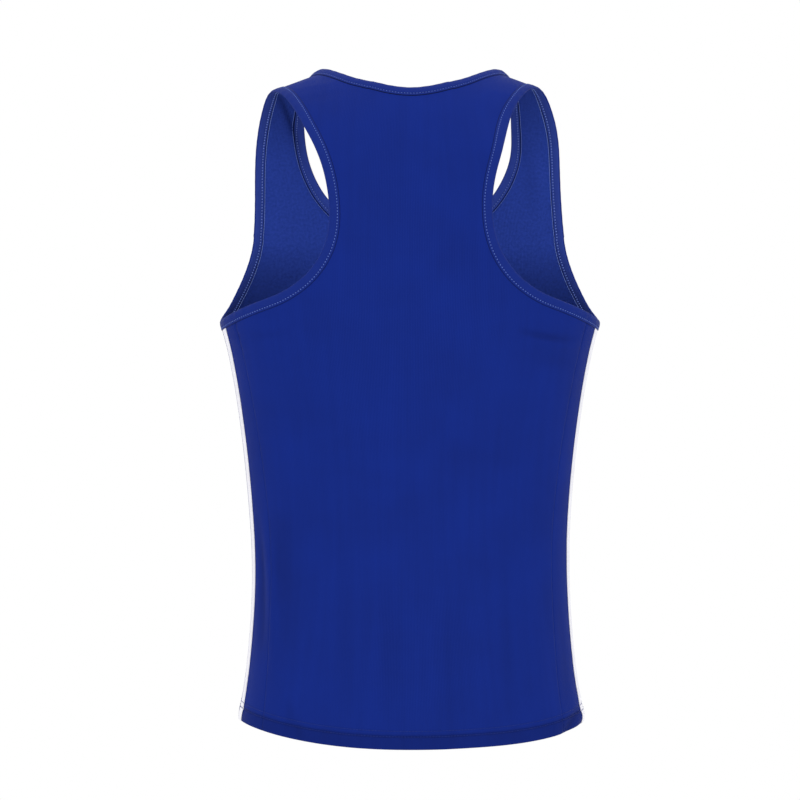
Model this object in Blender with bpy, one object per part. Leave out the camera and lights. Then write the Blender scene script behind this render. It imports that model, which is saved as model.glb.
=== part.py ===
"""Racerback boxing top: a sleeveless knit sports vest, filled out with nobody in it.

Blender 4.5, metres, +Z up.  +Y is towards the chest, +X is the wearer's right.
The origin is midway between the two shoulders, level with the shoulder ridge.
Every table and size below is in millimetres or degrees and is scaled once, by MM.
"""
import math

import bpy
import numpy as np

MM = 0.001

# ---- cloth ---------------------------------------------------------------------------
WALL = 1.2             # wall of the two panels
HEM_TURN = 15.0        # height of the turned-up hem
HEM_WALL = 2.4         # wall where the hem is doubled
SEAM_GAP = 0.3         # clear space between two pieces at a seam
BINDING_WIDTH = 10.5   # folded binding, from its seam to the open edge
BINDING_OUT = 0.6      # how far the binding stands outside the panel face
BINDING_IN = 1.9       # how far it reaches inside that face
BAND_WALL = 1.0        # sewn-on side band
BAND_LIFT = 0.3        # clear space under the side band
NECK_RISE = 25.0       # degrees the neck binding stands up at the shoulder
NECK_RISE_REACH = 28.0  # how far along the neck that rise carries

# ---- the filled-out form ---------------------------------------------------------------
ROUNDNESS = 2.4        # exponent of every level section
RIDGE_TOP = 29.6       # shoulder ridge carried on to the middle of the neck
RIDGE_FALL = 0.392     # slope of the ridge out along the shoulder
RIDGE_ROUND = 40.0     # rounding of the ridge at the middle
ARCH = 120.0           # height over which the top closes in to the ridge

FORM = (  # height, half_width, back_depth, front_depth
    (-700.0, 187.0, 105.0, 111.0),
    (-661.0, 180.4, 103.0, 109.0),
    (-630.0, 174.0, 101.0, 107.0),
    (-600.0, 169.8, 98.5, 105.0),
    (-551.0, 165.8, 94.0, 102.0),
    (-505.0, 164.6, 90.0, 100.0),
    (-458.0, 166.2, 88.5, 100.5),
    (-395.0, 171.6, 91.0, 104.5),
    (-333.0, 179.6, 97.0, 111.0),
    (-286.0, 188.2, 102.0, 116.0),
    (-250.0, 196.8, 105.0, 119.0),
    (-200.0, 200.0, 107.0, 120.0),
    (-150.0, 200.0, 106.0, 118.0),
    (-100.0, 200.0, 101.0, 111.0),
    (-50.0, 200.0, 93.0, 102.0),
    (0.0, 200.0, 86.0, 95.0),
    (40.0, 200.0, 82.0, 91.0),
)

# ---- edges, each as seen level from behind ----------------------------------------------
HEM_SIDE = -661.0      # height of the hem at the two sides
HEM_DROP_BACK = 21.0   # how much lower it hangs at the middle of the back
HEM_DROP_FRONT = 12.0
SEAM_TOP_ANGLE = 73.5  # side seam, degrees round from the middle of the back
SEAM_HEM_ANGLE = 67.0
BAND_BACK_ANGLE = 79.6  # the two edges of the side band
BAND_FRONT_ANGLE = 83.4
SHOULDER_OUT = 146.0   # where the armhole edge crosses the ridge
SHOULDER_IN = 93.0     # where the neck edge crosses the ridge

ARMHOLE_BACK = (  # half_width, height
    (118.0, -38.0), (107.0, -58.0), (97.0, -78.0), (89.0, -100.0), (84.3, -123.0),
    (82.6, -144.0), (84.0, -164.0), (91.0, -186.0), (106.0, -207.0), (128.5, -223.5),
    (157.0, -234.5),
)
UNDERARM = -250.0      # height of the armhole's lowest point, at the side
ARMHOLE_FRONT = (  # half_width, height, from the underarm up
    (190.5, -234.0), (182.0, -214.0), (174.5, -194.0), (169.0, -174.0),
    (166.5, -152.0), (165.5, -121.0), (165.0, -89.0), (163.5, -66.0), (160.5, -46.0),
    (156.5, -31.0),
)
NECK_BACK = (  # half_width, height, from the middle out
    (0.0, -17.6), (20.0, -15.2), (41.0, -9.4), (57.0, -4.8), (72.0, 1.9),
)
NECK_FRONT_SIDE = ((113.0, -44.0),)   # half_width, height
NECK_SCOOP_WIDTH = 111.5   # half-width of the front scoop
NECK_SCOOP_TOP = -50.0     # height where it is widest
NECK_SCOOP_DROP = 106.0    # and how far it falls from there
NECK_SCOOP_STEPS = (20.0, 34.0, 48.0, 62.0, 76.0, 90.0)

# ---- division of the cloth into cells ----------------------------------------------------
SAMPLES = 720          # fine points round each edge
LEVEL_TOP = -300.0     # level rings run from the hem up to here
LEVEL_RINGS = 15
RISING_RINGS = 8       # from the level rings up to the armholes and neck
BACK_UNDER = 6         # cells along the back underarm, seam to racerback
BACK_RISE = 14         # up the racerback, from the underarm to the yoke
BACK_STRAP = 4         # cells across a back strap
BACK_STRAP_RISE = 7
BACK_NECK = 7          # cells along half of the back neck
FRONT_UNDER = 7        # cells from the side band to the armhole corner
FRONT_STRAP = 7        # cells across a front strap
FRONT_STRAP_RISE = 21
FRONT_NECK = 7         # cells along half of the scoop
BACK_CORNER = -206.0   # height of the back armhole corner on the panel
FRONT_CORNER = -214.0  # height of the front armhole corner on the panel
SCOOP_CORNER = -131.0  # height of the corner on the scoop
YOKE_FALL = 96.0       # cloth from the ridge down to the yoke row, at the armhole
NAPE_FALL = 66.0       # and at the back neck
BAND_COLUMNS = slice(2, 5)  # columns of the front panel that carry the side band

BLUE = (0.010, 0.028, 0.215)
BLUE_BINDING = (0.013, 0.036, 0.245)
WHITE = (0.80, 0.80, 0.84)


def reading(table, height, column):
    """Smooth reading of one column of a table whose first column rises."""
    rows = len(table)
    k = 0
    while k < rows - 2 and height > table[k + 1][0]:
        k += 1

    def slope(i):
        low, high = max(i - 1, 0), min(i + 1, rows - 1)
        return ((table[high][column] - table[low][column])
                / (table[high][0] - table[low][0]))
    span = table[k + 1][0] - table[k][0]
    u = (height - table[k][0]) / span
    p, q = table[k][column], table[k + 1][column]
    return ((2 * u**3 - 3 * u**2 + 1) * p + (u**3 - 2 * u**2 + u) * span * slope(k)
            + (3 * u**2 - 2 * u**3) * q + (u**3 - u**2) * span * slope(k + 1))


def ridge(x):
    """Height of the shoulder ridge at a distance from the middle."""
    return RIDGE_TOP - RIDGE_FALL * (math.hypot(x, RIDGE_ROUND) - RIDGE_ROUND)


def depth(x, z, front):
    """Full depth of the form, front or back, under one point of its width."""
    share = min(abs(x) / reading(FORM, z, 1), 1.0)
    return reading(FORM, z, 3 if front else 2) * (1 - share**ROUNDNESS)**(1 / ROUNDNESS)


def body(angle, z):
    """Point on the form below the arch; the angle runs round from the middle of the back."""
    turn = math.radians(angle)
    a = reading(FORM, z, 1)
    b = reading(FORM, z, 3 if abs(angle) > 90 else 2)
    r = ((abs(math.sin(turn)) / a)**ROUNDNESS
         + (abs(math.cos(turn)) / b)**ROUNDNESS)**(-1 / ROUNDNESS)
    return (r * math.sin(turn), -r * math.cos(turn), z)


def crown(x, fall):
    """Point on the form a length of cloth down from the ridge; below 0 is the front."""
    turn = min(abs(fall) / ARCH, math.pi / 2)
    z = ridge(x) - ARCH * (1 - math.cos(turn)) - max(0.0, abs(fall) - ARCH * math.pi / 2)
    return (x, -math.copysign(1.0, fall) * depth(x, z, fall < 0) * math.sin(turn), z)


def fall_of(p):
    """The length of cloth down from the ridge at a point near the form."""
    x, y, z = p
    part = abs(y) / depth(x, z, y > 0)
    drop = ridge(x) - z
    if part < 0.75 and drop < 0.6 * ARCH:
        fall = ARCH * math.asin(part)
    elif drop < ARCH:
        fall = ARCH * math.acos(1 - drop / ARCH)
    else:
        fall = ARCH * math.pi / 2 + drop - ARCH
    return -fall if y > 0 else fall


def angle_of(p):
    return math.degrees(math.atan2(p[0], -p[1]))


def mirrored(p):
    return (-p[0], p[1], p[2])


def settle(p):
    """Put a point that is near the form exactly on it."""
    if p[2] < -160.0:
        return np.array(body(angle_of(p), p[2]))
    return np.array(crown(p[0], fall_of(p)))


def outside(p):
    x, y, z = p
    if z < -185.0:
        q = body(angle_of(p), z)
        return math.hypot(x, y) / math.hypot(q[0], q[1]) - 1
    lid = max(0.0, 1 - (ridge(x) - z) / ARCH)
    return (y / depth(x, z, y > 0))**2 + lid**2 - 1


def normal(p):
    """Unit vector out of the form."""
    step = 0.05
    n = np.array([outside(p + step * e) - outside(p - step * e) for e in np.eye(3)])
    return n / np.linalg.norm(n)


def unit(v):
    return v / np.maximum(np.linalg.norm(v, axis=-1, keepdims=True), 1e-12)


def even(points, count):
    """The same closed line with its points evenly spaced, starting at the same place."""
    ring = np.vstack([points, points[:1]])
    run = np.concatenate([[0.0], np.cumsum(np.linalg.norm(np.diff(ring, axis=0), axis=1))])
    at = np.linspace(0.0, run[-1], count, endpoint=False)
    return np.stack([np.interp(at, run, ring[:, k]) for k in range(3)], axis=1)


def closed_line(knots, passes):
    """A smooth closed line on the form through a few knots."""
    knots = np.array([settle(np.array(k, float)) for k in knots])
    n = len(knots)
    line = []
    for i in range(n):
        p0, p1, p2, p3 = (knots[(i + k) % n] for k in (-1, 0, 1, 2))
        d0, d1, d2 = (np.linalg.norm(b - a) for a, b in ((p0, p1), (p1, p2), (p2, p3)))
        m1 = ((p1 - p0) / d0 * d1 + (p2 - p1) / d1 * d0) / (d0 + d1) * d1
        m2 = ((p2 - p1) / d1 * d2 + (p3 - p2) / d2 * d1) / (d1 + d2) * d1
        for u in np.linspace(0.0, 1.0, 40, endpoint=False):
            line.append((2 * u**3 - 3 * u**2 + 1) * p1 + (u**3 - 2 * u**2 + u) * m1
                        + (3 * u**2 - 2 * u**3) * p2 + (u**3 - u**2) * m2)
    line = even(np.array(line), SAMPLES)
    for _ in range(passes):
        line = (np.roll(line, 1, axis=0) + 2 * line + np.roll(line, -1, axis=0)) / 4
    return np.array([settle(p) for p in line])


def along(line):
    return unit(np.roll(line, -1, axis=0) - np.roll(line, 1, axis=0))


def inland(line, width, side):
    """The line on the form that runs a width away from an edge, into the cloth."""
    out = np.array([normal(p) for p in line])
    way = side * np.cross(out, along(line))
    return np.array([settle(p + width * w) for p, w in zip(line, way)])


def seen(x, z, front):
    """Point on the form from its place in the level view."""
    drop = ridge(x) - z
    fall = (ARCH * math.acos(1 - drop / ARCH) if drop < ARCH
            else ARCH * math.pi / 2 + drop - ARCH)
    return crown(x, -fall if front else fall)


def armhole_knots():
    """From the ridge down the back, under the arm and up the front (wearer's right)."""
    return ([crown(SHOULDER_OUT, 0.0)] + [seen(x, z, False) for x, z in ARMHOLE_BACK]
            + [body(90.0, UNDERARM)] + [seen(x, z, True) for x, z in ARMHOLE_FRONT])


def neck_knots():
    """From the middle of the back out over the right ridge, down to the scoop and round."""
    right = [seen(x, z, False) for x, z in NECK_BACK]
    right.append(crown(SHOULDER_IN, 0.0))
    right += [seen(x, z, True) for x, z in NECK_FRONT_SIDE]
    for step in NECK_SCOOP_STEPS:
        x = NECK_SCOOP_WIDTH * math.cos(math.radians(step))
        z = NECK_SCOOP_TOP - NECK_SCOOP_DROP * math.sin(math.radians(step))
        right.append(seen(x, z, True))
    return right + [mirrored(p) for p in right[-2:0:-1]]


def nearest(values, target):
    return int(np.argmin(np.abs(np.asarray(values) - target)))


def spread(first, last, count):
    """Whole-number places from first to last, both kept."""
    return [int(round(first + (last - first) * k / count)) for k in range(count + 1)]


def seam_angle(z):
    share = (z - HEM_SIDE) / (UNDERARM - HEM_SIDE)
    return SEAM_HEM_ANGLE + (SEAM_TOP_ANGLE - SEAM_HEM_ANGLE) * share


def hem(angle):
    """Height of the hem round the form."""
    x = body(angle, HEM_SIDE)[0] / reading(FORM, HEM_SIDE, 1)
    drop = HEM_DROP_FRONT if abs(angle) > 90 else HEM_DROP_BACK
    return HEM_SIDE - drop * (1 - abs(x)**2.2)


class Cloth:
    """Nodes and cells of one piece of cloth, and how thick its wall is at each node."""

    def __init__(self):
        self.nodes, self.walls, self.cells = [], [], []

    def node(self, p, wall=WALL):
        self.nodes.append(np.array(p, float))
        self.walls.append(wall)
        return len(self.nodes) - 1

    def fill(self, rows, turned=False):
        """Cells between rows of node numbers; every row is the same length."""
        for low, high in zip(rows, rows[1:]):
            for k in range(len(low) - 1):
                cell = (low[k], low[k + 1], high[k + 1], high[k])
                self.cells.append(cell[::-1] if turned else cell)


def ring_rows(cloth, tops, keep):
    """Rings from the hem up to a row of top points; returns the rows of node numbers.

    tops is a list of (angle, height); keep is how far each column follows the seam.
    """
    rows = []
    levels = [0.0, HEM_TURN, HEM_TURN + 1.0]
    for k in range(3 + LEVEL_RINGS + RISING_RINGS):
        row = []
        for (angle, top), follow in zip(tops, keep):
            bottom = hem(angle)
            if k < 3:
                z = bottom + levels[k]
            elif k < 3 + LEVEL_RINGS:
                start = bottom + levels[2]
                z = start + (LEVEL_TOP - start) * (k - 2) / LEVEL_RINGS
            else:
                z = LEVEL_TOP + (top - LEVEL_TOP) * (k - 2 - LEVEL_RINGS) / RISING_RINGS
            shift = follow * (seam_angle(z) - seam_angle(top))
            turn = angle + (shift if angle > 0 else -shift)
            if k < 3:
                z = hem(turn) + levels[k]
            row.append(cloth.node(body(turn, z), HEM_WALL if k < 2 else WALL))
        rows.append(row)
    return rows


def crown_patch(cloth, low, high, left, right):
    """Fill between four rows of node numbers (low to high, left to right) on the crown."""
    def flat(numbers):
        return np.array([(cloth.nodes[i][0], fall_of(cloth.nodes[i])) for i in numbers])
    lo, hi, le, ri = flat(low), flat(high), flat(left), flat(right)
    n, m = len(low) - 1, len(left) - 1
    rows = [list(low)]
    for j in range(1, m):
        v = j / m
        row = [left[j]]
        for i in range(1, n):
            u = i / n
            p = ((1 - v) * lo[i] + v * hi[i] + (1 - u) * le[j] + u * ri[j]
                 - (1 - u) * (1 - v) * lo[0] - u * (1 - v) * lo[n]
                 - (1 - u) * v * hi[0] - u * v * hi[n])
            row.append(cloth.node(crown(*p)))
        row.append(right[j])
        rows.append(row)
    rows.append(list(high))
    return rows


def edge_lines():
    """The open edges, and the lines where each binding and each panel stops."""
    arm = closed_line(armhole_knots(), 60)
    neck = closed_line(neck_knots(), 40)
    lines = {"arm": arm, "neck": neck}
    for name in ("arm", "neck"):
        line = lines[name]
        lowest = int(np.argmin(line[:, 2]))
        way = np.cross(normal(line[lowest]), along(line)[lowest])
        side = -1 if way[2] > 0 else 1
        lines[name + "_seam"] = inland(line, BINDING_WIDTH, side)
        lines[name + "_panel"] = inland(line, BINDING_WIDTH + SEAM_GAP, side)
    return lines


def stations(lines):
    """Places round each edge where the panels have their nodes, as numbers into its line."""
    arm, neck = lines["arm_panel"], lines["neck_panel"]
    half = SAMPLES // 2
    top = nearest(np.abs(arm[:, 1]) + 1000 * (arm[:, 2] < -60), 0.0)
    yoke = [i for i in range(top + 20, half) if fall_of(arm[i]) > YOKE_FALL][0]
    back = [i for i in range(yoke, half) if arm[i][2] < BACK_CORNER][0]
    seam = [i for i in range(back, SAMPLES - 60) if angle_of(arm[i]) < seam_angle(arm[i][2])
            or angle_of(arm[i]) < SEAM_HEM_ANGLE][-1]
    front = [i for i in range(seam, SAMPLES - 30) if arm[i][2] < FRONT_CORNER][-1]
    cross = nearest(np.abs(neck[:half, 1]) + 1000 * (neck[:half, 2] < -60), 0.0)
    nape = [i for i in range(cross) if fall_of(neck[i]) > NAPE_FALL][-1]
    scoop = [i for i in range(cross, half) if neck[i][2] > SCOOP_CORNER][-1]
    middle = (seam_angle(arm[seam][2]) + BAND_BACK_ANGLE) / 2
    named = (middle, BAND_BACK_ANGLE, (BAND_BACK_ANGLE + BAND_FRONT_ANGLE) / 2,
             BAND_FRONT_ANGLE)
    under = [seam + nearest([angle_of(p) for p in arm[seam:front]], a) for a in named]
    return {
        "arm_back_strap": spread(yoke, top, BACK_STRAP_RISE),
        "arm_back": spread(back, yoke, BACK_RISE),
        "arm_back_under": spread(seam, back, BACK_UNDER),
        "arm_front_under": [seam] + under[:-1] + spread(under[-1], front, FRONT_UNDER),
        "arm_front_strap": spread(front, top + SAMPLES, FRONT_STRAP_RISE),
        "neck_back": spread(0, nape, BACK_NECK),
        "neck_back_strap": spread(nape, cross, BACK_STRAP_RISE),
        "neck_front_strap": spread(scoop, cross, FRONT_STRAP_RISE),
        "neck_front": spread(scoop, half, FRONT_NECK),
    }


def strap(cloth, lines, low, arm_at, neck_at, ease, turn, turned):
    """A shoulder strap, from a row of nodes (armhole to neck) up to the ridge."""
    arm = lines["arm_panel"][np.array(arm_at) % SAMPLES]
    neck = lines["neck_panel"][neck_at]
    outer, inner = arm[-1][0], neck[-1][0]
    cells = len(low) - 1
    shoulder = [crown(outer + (inner - outer) * k / cells, ease) for k in range(cells + 1)]
    high = [cloth.node(turn(p)) for p in shoulder]
    side_arm = [low[0]] + [cloth.node(turn(p)) for p in arm[1:-1]] + [high[0]]
    side_neck = [low[-1]] + [cloth.node(turn(p)) for p in neck[1:-1]] + [high[-1]]
    cloth.fill(crown_patch(cloth, low, high, side_arm, side_neck), turned)


def between(p, q, cells):
    """Points that part the way between two points, both ends left out."""
    p, q = np.array(p), np.array(q)
    return [p + (q - p) * k / cells for k in range(1, cells)]


def back_panel(lines, st):
    cloth = Cloth()
    arm, neck = lines["arm_panel"], lines["neck_panel"]
    seam = arm[st["arm_back_under"][0]]
    gap = math.degrees(SEAM_GAP / 2 / math.hypot(seam[0], seam[1]))
    right = [(angle_of(arm[i]), arm[i][2]) for i in st["arm_back_under"]]
    right[0] = (seam_angle(seam[2]) - gap, seam[2])
    corner = arm[st["arm_back_under"][-1]]
    half = BACK_STRAP + BACK_NECK
    tops = [(-a, z) for a, z in right]
    for p in between(mirrored(corner), corner, 2 * half):
        tops.append((angle_of(seen(p[0], p[2], False)), p[2]))
    tops += right[::-1]
    follow = [max(0.0, 1 - k / BACK_UNDER) for k in range(BACK_UNDER + half)]
    rows = ring_rows(cloth, tops, follow + [0.0] + follow[::-1])
    cloth.fill(rows)

    low = rows[-1][BACK_UNDER:BACK_UNDER + 2 * half + 1]
    rise = [arm[i] for i in st["arm_back"]]
    nape = [neck[i] for i in st["neck_back"]]
    across = [crown(*p) for p in between(
        (rise[-1][0], fall_of(rise[-1])), (nape[-1][0], fall_of(nape[-1])), BACK_STRAP)]
    yoke = [rise[-1]] + across + nape[:0:-1]
    yoke = [mirrored(p) for p in yoke] + [nape[0]] + yoke[::-1]
    high = [cloth.node(p) for p in yoke]
    left = [low[0]] + [cloth.node(mirrored(p)) for p in rise[1:-1]] + [high[0]]
    side = [low[-1]] + [cloth.node(p) for p in rise[1:-1]] + [high[-1]]
    cloth.fill(crown_patch(cloth, low, high, left, side))

    ease = SEAM_GAP / 2 * ARCH / depth(SHOULDER_OUT, 0.0, False)
    for turn, row, turned in ((tuple, high[:-BACK_STRAP - 2:-1], True),
                              (mirrored, high[:BACK_STRAP + 1], False)):
        strap(cloth, lines, row, st["arm_back_strap"], st["neck_back_strap"], ease, turn,
              turned)
    return cloth


def front_panel(lines, st):
    """Wraps round both sides to the seams at the back; also returns the bands' columns."""
    cloth = Cloth()
    arm, neck = lines["arm_panel"], lines["neck_panel"]
    seam = arm[st["arm_front_under"][0]]
    gap = math.degrees(SEAM_GAP / 2 / math.hypot(seam[0], seam[1]))
    right = [(angle_of(arm[i]), arm[i][2]) for i in st["arm_front_under"]]
    right[0] = (seam_angle(seam[2]) + gap, seam[2])
    corner, scoop = arm[st["arm_front_under"][-1]], neck[st["neck_front"][0]]
    for p in between(corner, scoop, FRONT_STRAP):
        right.append((angle_of(seen(p[0], p[2], True)), p[2]))
    right += [(angle_of(neck[i]), neck[i][2]) for i in st["neck_front"][:-1]]
    middle = (180.0, neck[st["neck_front"][-1]][2])
    tops = right + [middle] + [(-t, z) for t, z in right[::-1]]
    follow = [1.0, 0.5] + [0.0] * (len(right) - 2)
    rows = ring_rows(cloth, tops, follow + [0.0] + follow[::-1])
    cloth.fill(rows)

    ease = -SEAM_GAP / 2 * ARCH / depth(SHOULDER_OUT, 0.0, True)
    first = len(st["arm_front_under"]) - 1
    row = rows[-1]
    for turn, low, turned in (
            (tuple, row[first:first + FRONT_STRAP + 1], False),
            (mirrored, row[::-1][first:first + FRONT_STRAP + 1], True)):
        strap(cloth, lines, low, st["arm_front_strap"], st["neck_front_strap"], ease, turn,
              turned)
    band_right = [row[BAND_COLUMNS] for row in rows]
    band_left = [row[::-1][BAND_COLUMNS] for row in rows]
    return cloth, band_left, band_right


def make(name, points, faces, material):
    mesh = bpy.data.meshes.new(name)
    mesh.from_pydata([tuple(float(c) * MM for c in p) for p in points], [], faces)
    mesh.materials.append(material)
    for face in mesh.polygons:
        face.use_smooth = True
    mesh.validate()
    mesh.update()
    bpy.context.scene.collection.objects.link(bpy.data.objects.new(name, mesh))


def walled(name, cloth, lift, material):
    """A closed wall from one layer of cells: the outer face, the inner face and the rim."""
    nodes = np.array(cloth.nodes)
    out = np.array([normal(p) for p in nodes])
    skin = nodes + lift * out
    lining = skin - np.array(cloth.walls)[:, None] * out
    n = len(nodes)
    faces = [tuple(c) for c in cloth.cells]
    faces += [tuple(i + n for i in c[::-1]) for c in cloth.cells]
    sides = {}
    for cell in cloth.cells:
        for k in range(4):
            sides[(cell[k], cell[(k + 1) % 4])] = True
    faces += [(b, a, a + n, b + n) for a, b in sides if (b, a) not in sides]
    make(name, np.vstack([skin, lining]), faces, material)


def binding(name, line, seam, rises, turn, turned, material):
    """A folded strip round an edge; its section stands on the seam line."""
    section = (  # across, out
        (0.0, 0.9 * BINDING_OUT), (0.45 * BINDING_WIDTH, BINDING_OUT),
        (BINDING_WIDTH - 1.3, BINDING_OUT), (BINDING_WIDTH - 0.3, 0.1),
        (BINDING_WIDTH, -0.65), (BINDING_WIDTH - 0.3, -1.4),
        (BINDING_WIDTH - 1.3, -BINDING_IN), (0.0, 0.1 - BINDING_IN),
    )
    points = []
    for p, base, rise in zip(line, seam, rises):
        over = unit(p - base)
        out = normal(base)
        out = unit(out - np.dot(out, over) * over)
        tip = math.cos(rise) * over + math.sin(rise) * out
        top = math.cos(rise) * out - math.sin(rise) * over
        foot = base + BINDING_OUT * math.sin(rise) * over
        points += [turn(foot + w * tip + h * top) for w, h in section]
    count, size = len(line), len(section)
    faces = []
    for j in range(count):
        for k in range(size):
            near, far = j * size, (j + 1) % count * size
            faces.append((near + k, far + k, far + (k + 1) % size, near + (k + 1) % size))
    if turned:
        faces = [f[::-1] for f in faces]
    make(name, points, faces, material)


def band(name, cloth, rows, turned, material):
    """A strip sewn on the panel, made from the panel's own nodes."""
    piece = Cloth()
    numbers = [[piece.node(cloth.nodes[i], BAND_WALL) for i in row] for row in rows]
    piece.fill(numbers, turned)
    walled(name, piece, BAND_LIFT + BAND_WALL, material)


def material(name, colour, roughness):
    m = bpy.data.materials.new(name)
    m.use_nodes = True
    shader = m.node_tree.nodes["Principled BSDF"]
    shader.inputs["Base Color"].default_value = (*colour, 1.0)
    shader.inputs["Roughness"].default_value = roughness
    shader.inputs["Metallic"].default_value = 0.0
    m.diffuse_color = (*colour, 1.0)
    return m


def main():
    for thing in list(bpy.data.objects):
        bpy.data.objects.remove(thing, do_unlink=True)
    knit = material("polyester_knit", BLUE, 0.62)
    edging = material("binding_knit", BLUE_BINDING, 0.58)
    tape = material("white_tape", WHITE, 0.6)
    lines = edge_lines()
    st = stations(lines)
    front, band_left, band_right = front_panel(lines, st)
    walled("back_panel", back_panel(lines, st), 0.0, knit)
    walled("front_panel", front, 0.0, knit)
    band("side_band_right", front, band_right, False, tape)
    band("side_band_left", front, band_left, True, tape)

    around = (st["arm_back_strap"][:0:-1] + st["arm_back"][:0:-1]
              + st["arm_back_under"][:0:-1] + st["arm_front_under"][:-1]
              + st["arm_front_strap"][:-1])
    around = np.array(around) % SAMPLES
    level = [0.0] * len(around)
    for side, turn in (("right", tuple), ("left", mirrored)):
        binding("armhole_binding_" + side, lines["arm"][around], lines["arm_seam"][around],
                level, turn, side == "left", edging)

    half = (st["neck_back"][:-1] + st["neck_back_strap"][:-1]
            + st["neck_front_strap"][:0:-1] + st["neck_front"])
    around = half + [SAMPLES - i for i in half[-2:0:-1]]
    step = np.linalg.norm(np.diff(lines["neck"], axis=0), axis=1).mean()
    cross = st["neck_back_strap"][-1]
    rises = []
    for i in around:
        away = min(abs(i - cross), abs(SAMPLES - i - cross)) * step
        rises.append(math.radians(NECK_RISE) * math.exp(-(away / NECK_RISE_REACH)**2))
    binding("neck_binding", lines["neck"][around], lines["neck_seam"][around], rises,
            tuple, False, edging)


main()
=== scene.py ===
"""Racerback boxing top: a thin knit sports vest, filled out with nobody in it.

Run as a script. Sizes in the tables are millimetres and degrees, as the garment is measured;
they become metres once, where a mesh is made. +Z is up, the back faces -Y and +X is the
wearer's right. Height 0 is the shoulder ridge.
"""
import math

import bmesh
import bpy
import numpy as np
from mathutils import Matrix, Vector


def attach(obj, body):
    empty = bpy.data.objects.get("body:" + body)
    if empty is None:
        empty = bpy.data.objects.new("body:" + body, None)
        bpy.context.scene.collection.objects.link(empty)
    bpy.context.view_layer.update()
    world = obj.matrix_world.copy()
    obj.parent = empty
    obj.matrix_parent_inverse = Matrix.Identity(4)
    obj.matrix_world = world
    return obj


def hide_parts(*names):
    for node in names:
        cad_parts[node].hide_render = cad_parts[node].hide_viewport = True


bl_info = {
    "name": "Racerback Boxing Top",
    "version": (1, 0, 0),
    "blender": (4, 5, 0),
    "location": "3D View > Sidebar > Boxing Top",
    "description": "Builds a filled-out racerback boxing top with bindings, hem and stitching",
    "category": "Object",
}

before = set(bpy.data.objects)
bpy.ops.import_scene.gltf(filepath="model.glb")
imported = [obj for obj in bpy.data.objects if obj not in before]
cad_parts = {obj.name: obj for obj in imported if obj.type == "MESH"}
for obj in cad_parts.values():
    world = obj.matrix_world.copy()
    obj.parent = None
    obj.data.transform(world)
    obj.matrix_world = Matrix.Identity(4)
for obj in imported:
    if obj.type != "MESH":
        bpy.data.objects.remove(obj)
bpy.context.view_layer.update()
MM = 0.001


def srgb(code):
    """Linear colour from an sRGB hex value."""
    parts = [int(code[k:k + 2], 16) / 255 for k in (1, 3, 5)]
    return tuple(c / 12.92 if c <= 0.04045 else ((c + 0.055) / 1.055)**2.4 for c in parts)


# ---- the filled-out form ----
ROUNDNESS = 2.4        # exponent of every level section
RIDGE_TOP = 29.6       # shoulder ridge carried on to the middle of the neck
RIDGE_FALL = 0.392     # slope of the ridge out along the shoulder
RIDGE_ROUND = 40.0     # rounding of the ridge at the middle
ARCH = 120.0           # height over which the top closes in to the ridge

FORM = np.array((  # height, half_width, back_depth, front_depth
    (-700, 187, 105, 111), (-661, 180.4, 103, 109), (-630, 174, 101, 107),
    (-600, 169.8, 98.5, 105), (-551, 165.8, 94, 102), (-505, 164.6, 90, 100),
    (-458, 166.2, 88.5, 100.5), (-395, 171.6, 91, 104.5), (-333, 179.6, 97, 111),
    (-286, 188.2, 102, 116), (-250, 196.8, 105, 119), (-200, 200, 107, 120),
    (-150, 200, 106, 118), (-100, 200, 101, 111), (-50, 200, 93, 102), (0, 200, 86, 95),
    (40, 200, 82, 91),
))
LEAN = np.array((  # height, sideways: the worn-in cloth hangs a touch off its middle
    (-700, 1.6), (-660, 1.2), (-620, 0.2), (-520, -0.2), (-440, -1),
    (-250, -0.9), (-150, 0), (40, 0),
))
INNER_PAINTED_SHADE = np.array((  # height, how much darker the inner face is painted there: painted shade where little light gets inside
    (-700, 0.20), (-330, 0.30), (-245, 0.66), (-205, 0.40), (-165, 0),
    (-80, 0), (-40, 0.25), (40, 0.40),
))

PULLS = (  # which side, from x, full at x, height, reach up and down, sideways
    ("both", 93, 140, -5, 30, -7),      # the right shoulder sits inwards
    ("back", 40, 100, -42, 32, -10.5),
    ("back", 30, 90, -125, 50, -2.5),
    ("back", -300, -250, -60, 110, -2),  # all of the upper back
    ("front", 110, 150, -80, 60, -4.5),
    ("front", 70, 105, -40, 26, -4),
    ("front", 120, 155, -40, 26, 3.5),
    ("both", 140, 178, -668, 10, -4.5),   # the hem's right corner curls in
)
PULL_BLEND = 25.0      # depth over which a pull of one side fades in past the ridge
SLIDE_FROM, SLIDE_TALL = -60.0, 45.0  # above this height pulled cloth slides up the ridge
SAG = 3.5              # how much lower the hem hangs at the right
SAG_FROM, SAG_WIDE = 40.0, 120.0     # x where that begins, and over how far
SAG_TOP, SAG_TALL = -560.0, 110.0    # height where it begins, and over how far

# ---- edges, each as seen level from behind ----
HEM_SIDE = -661.0      # height of the hem at the two sides
HEM_DROP_BACK = 21.0   # how much lower it hangs at the middle of the back
HEM_DROP_FRONT = 12.0
HEM_CURVE = 2.2        # exponent of the hem's curve
SEAM_TOP_ANGLE = 73.5  # side seam, degrees round from the middle of the back
SEAM_HEM_ANGLE = 67.0
BAND_BACK_ANGLE = 79.6  # the two edges of the side band
BAND_FRONT_ANGLE = 83.4
SHOULDER_OUT = 146.0   # where the armhole edge crosses the ridge
SHOULDER_IN = 93.0     # where the neck edge crosses the ridge
UNDERARM = -250.0      # height of the armhole's lowest point, at the side
SEAM_STOP = -200.0     # above this height there is no side seam
WAIST = -420.0         # height at which the cut cloth's width is measured
LEVEL_LOW = -160.0     # below this height points are set on the level sections
CROWN_LOW = -185.0     # above this height the cloth runs over the arch of the shoulders

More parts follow.
